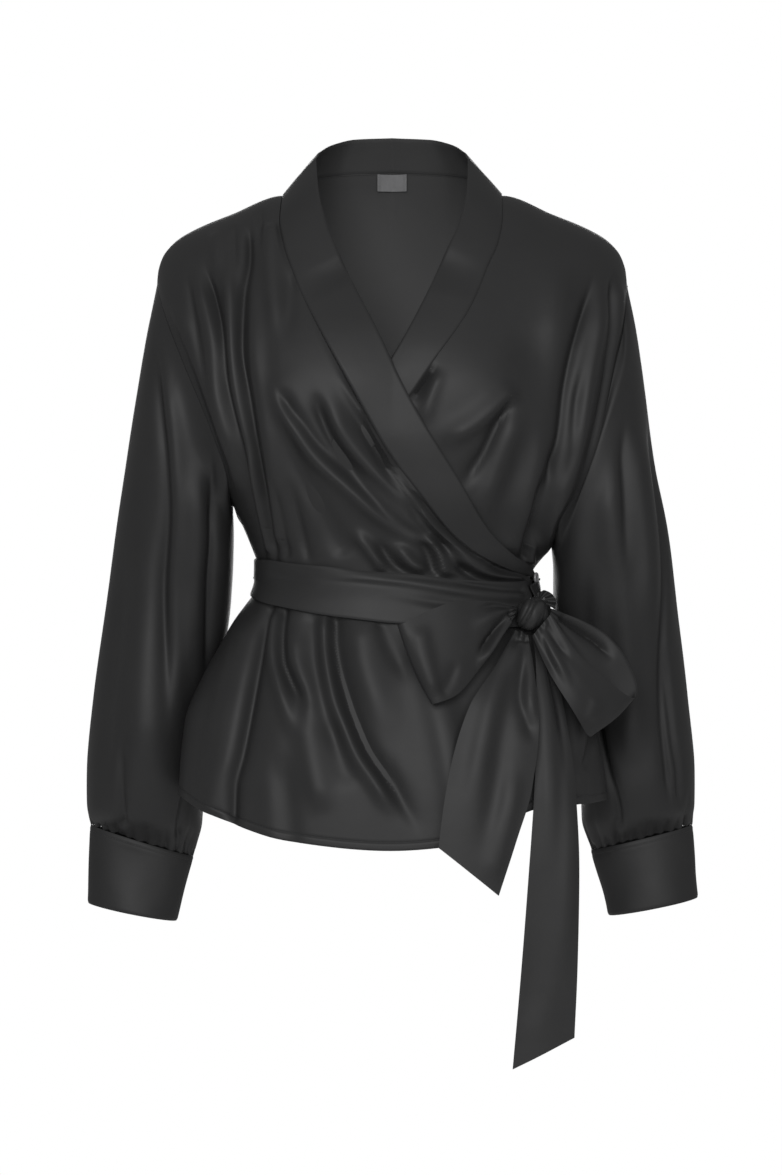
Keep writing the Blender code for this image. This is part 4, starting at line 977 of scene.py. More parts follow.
# Creases of the sleeves' front and back halves, in front view; x counts outwards from the
# middle of the body, so the same kind of row serves both sleeves.
SLEEVE_CREASES = {
    (-1, "front"): crease_table(
        ((220, -130, 218, -170, 215, -200, 209, -245, 207, -290, 212, -366, 210, -431, 211, -500),
          -6.2, 4.3, 5, 1.2, 0.2, 0.25),
        ((213, -135, 206, -190, 202, -250, 200, -300, 203, -370, 205, -462, 207, -520),
          5.1, 9, 6, 2, 0.2, 0.2),
        ((232, -285, 229, -330, 228, -390, 228, -450, 228, -540), 5, 15, 15, 2, 0.3, 0.18),
        ((232, -350, 230, -420, 230, -500, 232, -600), 15, 34, 34, 2, 0.62, 0.3),
        ((166, -235, 167, -317, 171, -370, 172, -411, 176, -460), -6.2, 3.7, 2.5, 1.2, 0.15, 0.25),
        ((180, -240, 182, -320, 186, -400, 190, -480), 4.6, 8, 9, 2, 0.25, 0.25),
        ((252, -330, 256, -420, 263, -500, 267, -560), -2.2, 8, 8, 1.6, 0.3, 0.2),
        ((192, -500, 196, -560, 202, -605), -4.6, 3.1, 3.1, 1.2, 0.35, 0),
        ((248, -500, 250, -550, 252, -590), -4.6, 2.5, 3.1, 1.2, 0.4, 0),
    ),
    (1, "front"): crease_table(
        ((240, -190, 243, -228, 247, -277, 251, -355, 252, -421, 254, -492, 259, -542, 262, -580),
          -6.2, 5, 2.5, 1.2, 0.2, 0.1),
        ((254, -420, 259, -468, 264, -513, 269, -542, 271, -575), -4.1, 2.5, 1.9, 1.2, 0.25, 0.1),
        ((226, -200, 229, -290, 232, -380, 234, -480), 11, 26, 26, 2, 0.55, 0.4),
        ((216, -200, 213, -257, 213, -310, 214, -360), -4.9, 4.3, 3.7, 1.2, 0.3, 0.35),
        ((200, -230, 202, -277, 206, -350, 214, -420, 223, -480, 224, -540),
          6.4, 12, 12, 2, 0.25, 0.15),
        ((228, -210, 230, -280, 233, -350, 236, -420), 5.1, 8, 9, 2, 0.25, 0.3),
        ((174, -400, 184, -450, 193, -500, 202, -540, 211, -570, 216, -600),
          -5.4, 3.1, 2.5, 1.2, 0.25, 0.05),
        ((190, -330, 192, -400, 200, -460, 207, -520), 4.1, 7, 8, 2, 0.3, 0.3),
    ),
    (-1, "back"): crease_table(
        ((226, -130, 222, -230, 226, -340, 236, -460, 244, -560), 5.7, 11, 9, 2, 0.25, 0.15),
        ((212, -150, 208, -250, 214, -380, 222, -500), -5.7, 3.7, 5, 1.2, 0.25, 0.25),
        ((190, -230, 192, -330, 200, -440, 206, -540), 6, 10, 10, 2, 0.25, 0.15),
        ((246, -260, 252, -380, 262, -500), -4.9, 3.7, 3.1, 1.2, 0.3, 0.25),
        ((176, -330, 182, -430, 190, -540), -5.4, 3.1, 3.7, 1.2, 0.3, 0.1),
    ),
    (1, "back"): crease_table(
        ((224, -120, 216, -240, 222, -350, 230, -450, 236, -560), 6, 10, 10, 2, 0.25, 0.15),
        ((236, -200, 238, -300, 244, -400, 254, -520), -5.4, 4.3, 3.1, 1.2, 0.25, 0.2),
        ((196, -200, 196, -300, 206, -420, 212, -530), -5.4, 3.1, 5, 1.2, 0.25, 0.2),
        ((184, -270, 186, -360, 194, -460, 200, -550), 5.7, 9, 9, 2, 0.25, 0.15),
        ((258, -330, 264, -440, 272, -540), 4.1, 8, 6, 2, 0.3, 0.15),
    ),
}


def armhole_loop(side, turns):
    """The armhole's edge: over the head at turn 0, in front at 90 degrees, under at 180."""
    x, z = armhole_edge(side, turns).T
    y = np.where(np.sin(turns) > 0, torso_y(x, z, -1), torso_y(x, z, 1))
    y = np.where(np.abs(np.sin(turns)) < 1e-9, 0.0, y)
    return np.stack([x, y, z], axis=-1)


def ring_points(ring, side, turns, fall=1.0):
    """One ring; a fall under 1 gives it the flatter front and back of cloth that hangs."""
    outer = np.array([side * ring.outer_x, ring.middle_y, ring.outer_z])
    inner = np.array([side * ring.inner_x, ring.middle_y, ring.inner_z])
    middle, reach = (outer + inner) / 2, (outer - inner) / 2
    depth = np.array([0.0, -ring.half_depth, 0.0])
    deep = np.sign(np.sin(turns)) * np.abs(np.sin(turns)) ** fall
    return middle + np.cos(turns)[:, None] * reach + deep[:, None] * depth


def gathers(turns, above, seed, count=30):
    """Small uneven pleats that the gathering thread makes over the cuff."""
    chance = np.random.default_rng(seed)
    places = (np.arange(count) + chance.uniform(-0.32, 0.32, count)) / count * 2 * np.pi
    lengths = chance.uniform(0.012, 0.040, count) * chance.choice([0.6, 1.0, 1.5], count)
    depths = chance.uniform(0.0018, 0.0042, count)
    lift = np.zeros(above.shape)
    for place, length, depth in zip(places, lengths, depths):
        away = (turns - place + np.pi + 0.002 / length * above) % (2 * np.pi) - np.pi
        lift -= depth * np.exp(-np.abs(away / 0.066) ** 1.5) * ramp(above, length, 0.0)
    return lift


def sleeve_grid(side):
    turns = np.linspace(0, 2 * np.pi, SLEEVE_ROUND, endpoint=False)
    rings = [armhole_loop(side, turns)]
    for ring, fall in zip(SLEEVE[side], SLEEVE_FALL):
        rings.append(ring_points(ring, side, turns, fall))
    seam = np.roll(rings[0], -1, axis=0) - np.roll(rings[0], 1, axis=0)
    seam /= np.linalg.norm(seam, axis=-1, keepdims=True)
    away = rings[1] - rings[0]
    away -= seam * (away * seam).sum(axis=-1, keepdims=True)
    rings[0] = rings[0] + SEAM * 2 * away / np.linalg.norm(away, axis=-1, keepdims=True)
    places = [0.0]
    for before, after in zip(rings, rings[1:]):
        places.append(places[-1] + float(np.linalg.norm(after - before, axis=-1).mean()))
    share = np.linspace(0, 1, SLEEVE_LENGTHS + 1)
    grid = smooth(np.array(places) / places[-1], np.array(rings), share)
    if side > 0:
        grid, turns = grid[:, ::-1], turns[::-1]
    front = ramp(np.sin(turns), -0.05, 0.30)[None, :]
    behind = ramp(-np.sin(turns), -0.05, 0.30)[None, :]
    out = grid[..., 0] * side
    lift = crease_height(out, grid[..., 2], SLEEVE_CREASES[side, "front"]) * front
    lift += crease_height(out, grid[..., 2], SLEEVE_CREASES[side, "back"]) * behind
    lift = eased(lift, tube=True)
    lift += waves(grid, (0.05, 0.05, 0.15), 0.0020, 7 + side)
    above = (1 - share)[:, None] * places[-1] + 0 * turns[None, :]
    head = far_from(grid, [grid[:1]])
    lift *= ramp(head, 0.0, 0.030) * ramp(above, 0.0, 0.022)
    lift += gathers(turns[None, :], above, 31 + side)
    return grid + outward(grid, tube=True) * lift[..., None]


for side, name in ((-1, "right"), (1, "left")):
    sleeve = shell(f"sleeve_{name}_cloth", sleeve_grid(side), tube=True)
    stands_for(sleeve, f"sleeve_{name}")


# ---- Cuffs ----------------------------------------------------------------------------------
# Deep plain cuffs: a straight strip of satin folded double and closed into a ring, its upper
# edge turned in over the sleeve's gathers and edge-stitched, and its lower edge a crisp fold.

CUFF = {
    -1: [
        Ring(0.2895, -0.6300, 0.1975, -0.6550, 0.048, 0.026),
        Ring(0.2910, -0.6684, 0.2050, -0.6857, 0.048, 0.029),
    ],
    1: [
        Ring(0.2890, -0.6280, 0.1985, -0.6500, 0.048, 0.026),
        Ring(0.2919, -0.6633, 0.2057, -0.6806, 0.048, 0.029),
    ],
}
CUFF_LENGTHS = 38
CUFF_WALL = 0.0018


def cuff_grid(side):
    turns = np.linspace(0, 2 * np.pi, SLEEVE_ROUND, endpoint=False)
    if side > 0:
        turns = turns[::-1]
    rings = [ring_points(ring, side, turns) for ring in (SLEEVE[side][-1], *CUFF[side])]
    share = np.linspace(0, 1, CUFF_LENGTHS + 1)
    share = share - 0.035 * np.sin(2 * np.pi * share)
    grid = smooth([0.0, 0.47, 1.0], np.array(rings), share)
    deep = np.linalg.norm(np.diff(grid, axis=0), axis=-1).mean(axis=1)
    down = np.concatenate([[0], np.cumsum(deep)])
    left = down[-1] - down
    lift = -0.0009 * np.exp(-((down / 0.0016) ** 2)) - 0.0008 * np.exp(-((left / 0.0014) ** 2))
    lift -= 0.0004 * np.exp(-(((down - 0.0050) / 0.0009) ** 2))
    flow = waves(grid, (0.035, 0.035, 0.05), 0.0018, 11 + side) * ramp(down, 0.0, 0.012)[:, None]
    return grid + outward(grid, tube=True) * (lift[:, None] + flow)[..., None], down


for side, name in ((-1, "right"), (1, "left")):
    cuff_cloth, cuff_down = cuff_grid(side)
    cuff = shell(f"cuff_{name}_cloth", cuff_cloth, CUFF_WALL, tube=True, finishes=DOUBLED)
    stands_for(cuff, f"cuff_{name}")
    line = int(np.abs(cuff_down - 0.0050).argmin())
    ring = cuff_cloth[line] + outward(cuff_cloth, tube=True)[line] * 0.0001
    stitched(f"cuff_{name}_stitches", [np.concatenate([ring, ring[:1]])])


# ---- Neckband -------------------------------------------------------------------------------
# One long straight strip of satin folded double. It is sewn to the whole front and neck edge
# with the raw edges inside, stands up round the back of the neck and lies flat on the chest
# down to the knot, its folded edge soft and unstitched.

# The band's free edge behind the neck, from the middle out.
BACK_BAND = [
    BackNeck(0.000, 0.071, 0.0640, 0),
    BackNeck(0.036, 0.062, 0.0610, 0),
    BackNeck(0.057, 0.041, 0.0530, 0),
    BackNeck(0.068, 0.016, 0.0430, 0),
]
BAND_ACROSS = 18
BAND_WALL = 0.0017
BAND_RISE = 0.0009  # how far the doubled band stands over the cloth it is sewn to


def chest_band(side, table, edge_x, count, lift):
    """The band on one front, from the shoulder down: its seam, its free edge and its rest."""
    seam = spaced(band_line(table, edge_x, WRAP_END_Z[side]), -1, count)
    z = np.clip(seam[:, 1], min(column(table, "seam_z")), 0.0)
    free = [table_at(table, "seam_z", "free_" + axis, z) for axis in "xyz"]
    seam = on_form(seam[:, 0], seam[:, 1], -1, lift(seam[:, 0], seam[:, 1]))
    return seam, np.stack(free, axis=1), table_at(table, "seam_z", "rest", z)


def back_band():
    """The band behind the neck, between the two shoulder points and without them."""
    neck_x = np.linspace(-NECK_X, NECK_X, BACK_COLUMNS[1] + 1)[1:-1]
    z = shoulder_z(neck_x, 1)
    seam = np.stack([neck_x, torso_y(neck_x, z, 1) + 0.0003, z - 0.0010], axis=1)
    places = column(BACK_NECK[:-1], "x")
    free = [smooth(places, column(BACK_BAND, axis), np.abs(neck_x)) for axis in "xyz"]
    free = np.stack([np.sign(neck_x) * free[0], free[1], free[2]], axis=1)
    return seam, free, np.zeros(len(seam))


def band_grid():
    upper = chest_band(-1, UPPER_BAND, UPPER_EDGE_X, 210, upper_lift)
    lower = chest_band(1, LOWER_BAND, LOWER_EDGE_X, 170, lower_lift)
    upper = [half[::-1] for half in upper]
    seam, free, rest = (np.concatenate(parts) for parts in zip(upper, back_band(), lower))
    across = free - seam
    gap = SEAM / np.linalg.norm(across[:, [0, 2]], axis=1)[:, None, None]
    spread = (1 - np.cos(np.linspace(0, np.pi, BAND_ACROSS + 1))) / 2
    spread = 0.55 * spread + 0.45 * np.linspace(0, 1, BAND_ACROSS + 1)
    grid = seam[:, None] + across[:, None] * (gap + (1 - gap) * spread[None, :, None])
    x, z = grid[..., 0], np.minimum(grid[..., 2], -0.02)
    on_upper = (np.arange(len(seam)) < len(upper[0]))[:, None]
    laid = on_form(x, z, -1, np.where(on_upper, upper_lift(x, z), lower_lift(x, z)))
    grid += (laid - grid) * rest[:, None, None]
    width = np.linalg.norm(across, axis=1)[:, None]
    edge = np.minimum(spread, 1 - spread)[None, :] * width
    grid, edge = grid[:, ::-1], edge[:, ::-1]
    lift = (BAND_RISE + 0.0002) * ramp(edge, 0.0, 0.0014) - 0.0002
    lift = lift + 0.0010 * np.sin(np.pi * spread)[None, :]
    lift = lift + waves(grid, (0.05, 0.05, 0.09), 0.0009, 15)
    return grid + outward(grid) * lift[..., None], edge


# The band's inner face is the same satin painted paler: painted light, standing in for the light
# this face would not catch as it leans down over the dark inside.
BAND_BACK_PAINTED_LIGHT = satin_finish(
    "satin_band_back_painted_light", (0.062, 0.062, 0.0624), (0.078, 0.078, 0.0786), (0.55, 0.65), 1.0,
    Specular_IOR_Level=0.30,
)
band_cloth, band_edge = band_grid()
band_wall = 0.0004 + (BAND_WALL - 0.0004) * np.sqrt(np.clip(band_edge / 0.0022, 0.0, 1.0))
neckband = shell("neckband_cloth", band_cloth, band_wall, finishes=(SATIN, BAND_BACK_PAINTED_LIGHT))
stands_for(neckband, "neckband")


# ---- Neck seam and label --------------------------------------------------------------------
# Inside the back the neck seam is covered and stitched down, and a small woven label in light
# grey is sewn under it by its two short ends. Its face is blank.

LABEL_WIDTH, LABEL_HEIGHT, LABEL_TOP = 0.028, 0.016, 0.031
SEAM_STITCH_DROP = 0.0018

woven = Finish("label_weave", Specular_IOR_Level=0.25, Sheen_Weight=0.3)
label_place = woven.node("ShaderNodeTexCoord", {}, {})["UV"]
ribs = {"Vector": label_place, "Scale": 520.0, "Distortion": 0.6}
weft, warp = (
    woven.node("ShaderNodeTexWave", {"bands_direction": axis}, ribs)["Fac"] for axis in "YX"
)
slub = woven.noise(label_place, 260.0, 3.0)
label_tone = weft * 0.35 + warp * 0.25 + slub * 0.4
woven.fill(
    woven.shader,
    {
        "Base Color": woven.colour(label_tone, (0.16, 0.16, 0.163), (0.27, 0.27, 0.275)),
        "Roughness": 0.62 + 0.2 * slub,
        "Normal": woven.bump(weft * 0.6 + warp * 0.4, 0.00008, 0.7),
    },
)
x, z = np.meshgrid(
    np.linspace(-LABEL_WIDTH / 2, LABEL_WIDTH / 2, 41),
    np.linspace(LABEL_TOP, LABEL_TOP - LABEL_HEIGHT, 25),
)
label_out = np.minimum((LABEL_WIDTH / 2 - np.abs(x)) / 0.004, 1.0)
label_depth = 0.0026 - 0.0012 * ramp(label_out, 0.0, 1.0)
label_depth = label_depth + 0.0003 * np.sin(x * 380) * np.sin(z * 300)
label_cloth = np.stack([x, torso_y(x, z, 1) - 0.0012 - label_depth, z], axis=-1)
label = shell("label_cloth", label_cloth, 0.0005, finishes=(woven.material, woven.material))
stands_for(label, "neck_label")
pale = speckled(
    "label_thread", (0.30, 0.30, 0.31), (0.42, 0.42, 0.43), 900.0, Roughness=0.5
)[0]
stitched(
    "label_stitches",
    [label_cloth[:, place] + np.array([0.0, -0.0001, 0.0]) for place in (2, -3)],
    pitch=0.0019, stitch=0.0014, thread=0.00014, finish=pale.material,
)
seam_x = np.linspace(-0.094, 0.094, 120)
seam_z = shoulder_z(seam_x, 1) - SEAM_STITCH_DROP
stitched(
    "neck_seam_stitches",
    [np.stack([seam_x, torso_y(seam_x, seam_z, 1) - CLOTH - 0.0006, seam_z], axis=1)],
    pitch=0.0036, stitch=0.0026, thread=0.00030,
)


# ---- Sash -----------------------------------------------------------------------------------
# The sash is a long straight tube of the same satin, pressed flat and 85 mm wide. It goes once
# round the waist, pulled narrower where it bends round the sides, over the crossed fronts.

# The sash round the waist: a turn round the body in degrees from the front towards +X, the
# height of its middle, its width there, how far its outer face lies off the torso form at its
# edges, and how much further along its middle, where it spans the hollow of the waist.
SashStation = namedtuple("SashStation", "turn z width lift span")
SASH = [
    SashStation(62, -0.385, 0.046, 0.0084, 0.0010),
    SashStation(44, -0.386, 0.044, 0.0098, 0.0010),
    SashStation(34, -0.385, 0.044, 0.0098, 0.0010),
    SashStation(20, -0.383, 0.046, 0.0098, 0.0010),
    SashStation(0, -0.378, 0.048, 0.0098, 0.0010),
    SashStation(-35, -0.368, 0.046, 0.0088, 0.0016),
    SashStation(-64, -0.361, 0.040, 0.0052, 0.0036),
    SashStation(-90, -0.358, 0.036, 0.0024, 0.0048),
    SashStation(-112, -0.357, 0.039, 0.0034, 0.0036),
    SashStation(-135, -0.357, 0.044, 0.0050, 0.0020),
    SashStation(-180, -0.360, 0.047, 0.0056, 0.0010),
    SashStation(-225, -0.366, 0.046, 0.0052, 0.0010),
    SashStation(-262, -0.377, 0.042, 0.0075, 0.0010),
    SashStation(-294, -0.387, 0.038, 0.0085, 0.0010),
]
SASH_WALL = 0.0016
SASH_LENGTHS, SASH_ACROSS = 420, 30
# Creases of the sash along its length: x is the way round the body in degrees, as in the table
# above, and z the way up from its middle in millimetres.
SASH_CREASES = crease_table(
    ((-30, 10, -8, 16, 14, 12, 34, 6, 60, 5), 2.6, 4, 5, 2, 0.3, 0.1),
    ((-4, 0, 14, -2, 34, -3, 60, -2), -2.6, 2.8, 3.6, 1.2, 0.3, 0.1),
    ((4, -10, 22, -10, 40, -8, 60, -6), 2.2, 4, 4, 2, 0.35, 0.1),
    ((10, 6, 26, 4, 42, 2, 60, 1), -1.8, 2, 3, 1.2, 0.35, 0.1),
    ((18, 20, 38, 15, 60, 11), -2.6, 2.4, 2.4, 1.2, 0.3, 0.1),
    ((-62, 12, -44, 6, -26, 3), -1, 5, 5, 1.8, 0.4, 0.4),
    ((-148, 6, -128, 2, -108, -2), -2, 3, 4, 1.3, 0.3, 0.35),
    ((-160, -12, -130, -6, -104, -8), 1.8, 5, 4, 2, 0.35, 0.3),
    ((-212, 8, -180, 10, -150, 6), 1.8, 5, 5, 2, 0.35, 0.35),
    ((-240, -4, -205, -2, -172, -6), -2, 3, 4, 1.4, 0.35, 0.35),
    ((-290, 4, -262, 6, -232, 6), -2.4, 3, 3, 1.2, 0.05, 0.35),
    ((-290, -3, -264, -6, -236, -12), 2.2, 3, 4, 2, 0.05, 0.35),
)


def sash_grid():
    turns = [math.radians(row.turn) for row in SASH]
    at = np.linspace(turns[0], turns[-1], SASH_LENGTHS + 1)
    middle = smooth(turns, column(SASH, "z"), at)
    width = smooth(turns, column(SASH, "width"), at)
    width = width * (1 + 0.020 * np.sin(at * 5.0 + 0.7) + 0.012 * np.sin(at * 11.0))
    spread = (1 - np.cos(np.linspace(0, np.pi, SASH_ACROSS + 1))) / 2
    spread = 0.5 * spread + 0.5 * np.linspace(0, 1, SASH_ACROSS + 1)
    place, up = np.meshgrid(np.degrees(at) * MM, 0.5 - spread)
    lift = crease_height(place, up * width[None, :], SASH_CREASES)
    lift += smooth(turns, column(SASH, "span"), at)[None, :] * np.sin(np.pi * spread)[:, None]
    rows = []
    for row, share in enumerate(0.5 - spread):
        z = middle + width * share
        face = np.where(np.cos(at) >= 0, -1, 1)
        power = np.where(face < 0, BODY_POWER, table_at(TORSO, "z", "back_power", z))
        x = half_width(z, np.sin(at)) * np.sign(np.sin(at)) * np.abs(np.sin(at)) ** (2 / power)
        high = smooth(turns, column(SASH, "lift"), at) + lift[row]
        in_front = (face < 0)[:, None]
        rows.append(np.where(in_front, on_form(x, z, -1, high), on_form(x, z, 1, high)))
    grid = np.array(rows)[:, ::-1]
    edge = (np.minimum(spread, 1 - spread)[:, None] * width[None, :])[:, ::-1]
    lift = waves(grid, (0.05, 0.05, 0.03), 0.0007, 21) - 0.0006 * (1 - ramp(edge, 0.0, 0.0016))
    return grid + outward(grid) * lift[..., None], edge


def folded_wall(edge, wall):
    """The thickness of a doubled strip: full over its width and rounded off at its edges."""
    return 0.0003 + (wall - 0.0003) * np.sqrt(np.clip(edge / 0.0018, 0.0, 1.0))


sash_cloth, sash_edge = sash_grid()
sash = shell("sash_cloth", sash_cloth, folded_wall(sash_edge, SASH_WALL), finishes=DOUBLED)
stands_for(sash, "sash_waist")


# ---- Knot -----------------------------------------------------------------------------------
# One end of the sash is wound once over the other and pulled tight at the wearer's left waist.
# The strap that goes round lies in narrow pleats, and a frilled bit of it stands out behind.

KNOT_CENTRE = (0.1285, -0.0870, -0.3900)


def knot_grid(centre, size, tilt, seed, pleats):
    rows, columns = 44, 64
    along, turns = np.linspace(-1, 1, rows), np.linspace(0, 2 * np.pi, columns, endpoint=False)
    s, turn = np.meshgrid(along, turns, indexing="ij")
    round_off = np.clip(1 - np.abs(s) ** 2.8, 0.0, 1.0) ** 0.46
    lift = np.zeros(s.shape)
    for place, slope, depth, width in pleats:
        away = s - place - slope * np.sin(turn + seed)
        lift -= depth * np.exp(-np.abs(away / width) ** 1.3)
    section = [0 * s, np.cos(turn) * size[1] / 2, np.sin(turn) * size[2] / 2]
    reach = round_off[..., None] * np.stack(section, axis=-1)
    grid = reach + np.stack([s * size[0] / 2, 0 * s, 0 * s], axis=-1)
    lift = lift + waves(grid, (0.012, 0.012, 0.012), 0.0022, seed)
    lift = lift * np.clip(round_off * 1.3, 0, 1)
    length = np.maximum(np.linalg.norm(reach, axis=-1, keepdims=True), 1e-6)
    grid = grid + reach / length * lift[..., None]
    turned = grid @ np.array(Matrix.Rotation(math.radians(tilt), 3, "Y")).T
    return turned + np.array(centre)


def facing_out(grid, centre):
    """The grid with its columns turned round if its outer side would be its inner one."""
    out = (outward(grid, tube=True) * (grid - np.array(centre))).sum()
    return grid if out > 0 else grid[:, ::-1]


wrap_pleats = [(-0.30, 0.12, 0.0016, 0.10), (0.34, 0.16, 0.0014, 0.10)]
knot_cloth = knot_grid(KNOT_CENTRE, (0.0270, 0.0250, 0.0270), -24.0, 2.0, wrap_pleats)
knot = shell("knot_wrap", facing_out(knot_cloth, KNOT_CENTRE), 0.0008, tube=True, finishes=DOUBLED)
stands_for(knot, "sash_knot")
strap_centre = (0.1272, -0.0905, -0.3925)
strap_pleats = [
    (-0.62, 0.10, 0.0014, 0.10), (-0.28, 0.16, 0.0016, 0.10), (0.66, 0.08, 0.0010, 0.12)
]
strap_cloth = knot_grid(strap_centre, (0.0235, 0.0300, 0.0325), 26.0, 5.0, strap_pleats)
strap_cloth = facing_out(strap_cloth, strap_centre)
strap = shell("knot_strap", strap_cloth, 0.0008, tube=True, finishes=DOUBLED)
stands_for(strap, None)
FRILL_SPINE = [
    (0.1330, -0.3740), (0.1392, -0.3712), (0.1458, -0.3742), (0.1500, -0.3810), (0.1490, -0.3870)
]
spine = bend(FRILL_SPINE, 90)
out = np.stack([spine[:, 0] - 0.1340, spine[:, 1] + 0.3800], axis=1)
out /= np.linalg.norm(out, axis=1, keepdims=True)
frill_along, frill_out = np.meshgrid(np.linspace(0, 1, 90), np.linspace(1, 0, 14), indexing="ij")
frill_wide = 0.0085 + 0.0012 * np.sin(frill_along * 21)
frill_x = spine[:, :1] + out[:, :1] * (frill_out - 0.92) * frill_wide
frill_z = spine[:, 1:] + out[:, 1:] * (frill_out - 0.92) * frill_wide
frill_y = -0.0800 + 0.0020 * np.sin(frill_along * 21 + 0.8) * (0.25 + 0.75 * frill_out)
frill_cloth = np.stack([frill_x, frill_y, frill_z], axis=-1)[:, ::-1]
frill = shell("knot_frill", frill_cloth, 0.0006, finishes=DOUBLED)
stands_for(frill, None)


# ---- Bow ------------------------------------------------------------------------------------
# The two ends of the sash are tied in a bow: a wide loop falls to each side of the knot. Each
# is gathered into pleats where the knot holds it and opens out to the sash's full width.

# The bow: each strip runs through sections with one point on each of its two edges.
Strip = namedtuple("Strip", "ax ay az bx by bz")
BOW_RIGHT_LOOP = [
    Strip(0.1110, -0.0960, -0.3850, 0.1115, -0.0985, -0.3940),
    Strip(0.0900, -0.1120, -0.3800, 0.0960, -0.1130, -0.4160),
    Strip(0.0620, -0.1270, -0.3800, 0.0770, -0.1270, -0.4440),
    Strip(0.0300, -0.1390, -0.3900, 0.0560, -0.1390, -0.4660),
    Strip(0.0080, -0.1440, -0.4010, 0.0390, -0.1460, -0.4720),
    Strip(0.0030, -0.1380, -0.4020, 0.0350, -0.1420, -0.4730),
    Strip(0.0090, -0.1290, -0.4010, 0.0400, -0.1370, -0.4710),
    Strip(0.0400, -0.1220, -0.3900, 0.0620, -0.1300, -0.4570),
    Strip(0.0700, -0.1120, -0.3830, 0.0820, -0.1180, -0.4330),
    Strip(0.0950, -0.1010, -0.3830, 0.1000, -0.1060, -0.4080),
    Strip(0.1115, -0.0900, -0.3860, 0.1120, -0.0920, -0.3940),
]
BOW_LEFT_LOOP = [
    Strip(0.1450, -0.0950, -0.3920, 0.1275, -0.1040, -0.4120),
    Strip(0.1580, -0.1000, -0.4130, 0.1420, -0.1110, -0.4440),
    Strip(0.1740, -0.1010, -0.4330, 0.1590, -0.1140, -0.4720),
    Strip(0.1950, -0.0950, -0.4510, 0.1700, -0.1100, -0.4900),
    Strip(0.2170, -0.0840, -0.4680, 0.1790, -0.1000, -0.5030),
    Strip(0.2230, -0.0760, -0.4700, 0.1830, -0.0940, -0.5050),
    Strip(0.2260, -0.0660, -0.4620, 0.1820, -0.0880, -0.4980),
    Strip(0.2180, -0.0610, -0.4380, 0.1760, -0.0840, -0.4700),
    Strip(0.1980, -0.0620, -0.4110, 0.1660, -0.0800, -0.4380),
    Strip(0.1700, -0.0680, -0.3960, 0.1540, -0.0780, -0.4120),
    Strip(0.1460, -0.0780, -0.3870, 0.1450, -0.0800, -0.3940),
]
STRIP_LENGTHS, STRIP_ACROSS = 150, 34


def strip_grid(table, creases, cup, seed, pleats, both_ends=False, flip=False):
    """A strip of sash through its sections; creases run down its length from the knot."""
    points = np.array(table)
    first, second = points[:, :3], points[:, 3:]
    middle = (first + second) / 2
    places = np.concatenate([[0], np.cumsum(np.linalg.norm(np.diff(middle, axis=0), axis=1))])
    at = np.linspace(0, places[-1], STRIP_LENGTHS + 1)
    first, second = smooth(places, first, at), smooth(places, second, at)
    kernel = np.hanning(13) / np.hanning(13).sum()
    for edge in (first, second):
        padded = np.pad(edge, ((6, 6), (0, 0)), mode="reflect", reflect_type="odd")
        for axis in range(3):
            edge[:, axis] = np.convolve(padded[:, axis], kernel, mode="valid")
    shares = (1 - np.cos(np.linspace(0, np.pi, STRIP_ACROSS + 1))) / 2
    shares = 0.4 * shares + 0.6 * np.linspace(0, 1, STRIP_ACROSS + 1)
    grid = first[:, None] + (second - first)[:, None] * shares[None, :, None]
    width = np.linalg.norm(second - first, axis=1)[:, None]
    across = (shares[None, :] - 0.5) * width
    along = np.broadcast_to(-at[:, None], across.shape)
    lift = crease_height(across, along, creases) + cup * np.sin(np.pi * shares)[None, :]
    near = np.exp(-at / 0.024)
    if both_ends:
        near = near + np.exp(-(at[-1] - at) / 0.024)
    depth, count = pleats
    place = shares[None, :] + 0.07 * np.sin(seed)
    lift = lift + depth * near[:, None] * np.cos(2 * np.pi * count * place)
    lift = lift + waves(grid, (0.035, 0.035, 0.055), 0.0011, seed)
    edge = np.minimum(shares, 1 - shares)[None, :] * width
    if flip:
        grid, lift, edge = grid[:, ::-1], lift[:, ::-1], edge[:, ::-1]
    return grid + outward(grid) * lift[..., None], edge


def ribbon(name, table, creases, cup, seed, **rest):
    grid, edge = strip_grid(table, creases, cup, seed, **rest)
    piece = shell(name + "_cloth", grid, folded_wall(edge, 0.0013), finishes=DOUBLED)
    stands_for(piece, name)
    return piece


RIGHT_LOOP_CREASES = crease_table(
    ((1, -4, 6, -20, 12, -35, 20, -54), -6.6, 4, 4, 1.15, 0.05, 0.35),
    ((4, -6, 13, -22, 22, -38, 28, -58), 5.6, 4, 4, 2, 0.05, 0.35),
    ((-2, -4, -6, -30, -6, -56), 3.4, 5, 7, 2, 0.05, 0.5),
    ((-4, -4, -12, -22, -20, -44), -3.4, 2.6, 3, 1.2, 0.05, 0.5),
    ((-34, -98, 0, -104, 34, -108), 2.6, 6, 6, 2, 0.2, 0.2),
    ((12, -74, 26, -90, 34, -104), -2, 6, 4, 1.5, 0.3, 0.2),
)
LEFT_LOOP_CREASES = crease_table(
    ((-2, -4, -6, -26, -10, -50), -3.4, 2.8, 3.4, 1.2, 0.05, 0.45),
    ((2, -4, 4, -30, 6, -60), 3, 4, 5, 2, 0.05, 0.45),
    ((5, -4, 10, -26, 12, -46), -2.6, 2.6, 3, 1.2, 0.05, 0.45),
    ((-2, -232, -6, -206, -12, -182, -16, -164), 6.4, 3.6, 3.6, 1.2, 0.1, 0.3),
    ((-6, -84, 6, -90, 18, -94), 1.8, 6, 6, 2, 0.3, 0.3),
)
loop_right = ribbon(
    "bow_loop_right", BOW_RIGHT_LOOP, RIGHT_LOOP_CREASES, 0.0030, 3.0,
    pleats=(0.0013, 3), both_ends=True,
)
loop_left = ribbon(
    "bow_loop_left", BOW_LEFT_LOOP, LEFT_LOOP_CREASES, 0.0022, 4.0,
    pleats=(0.0012, 3), both_ends=True, flip=True,
)


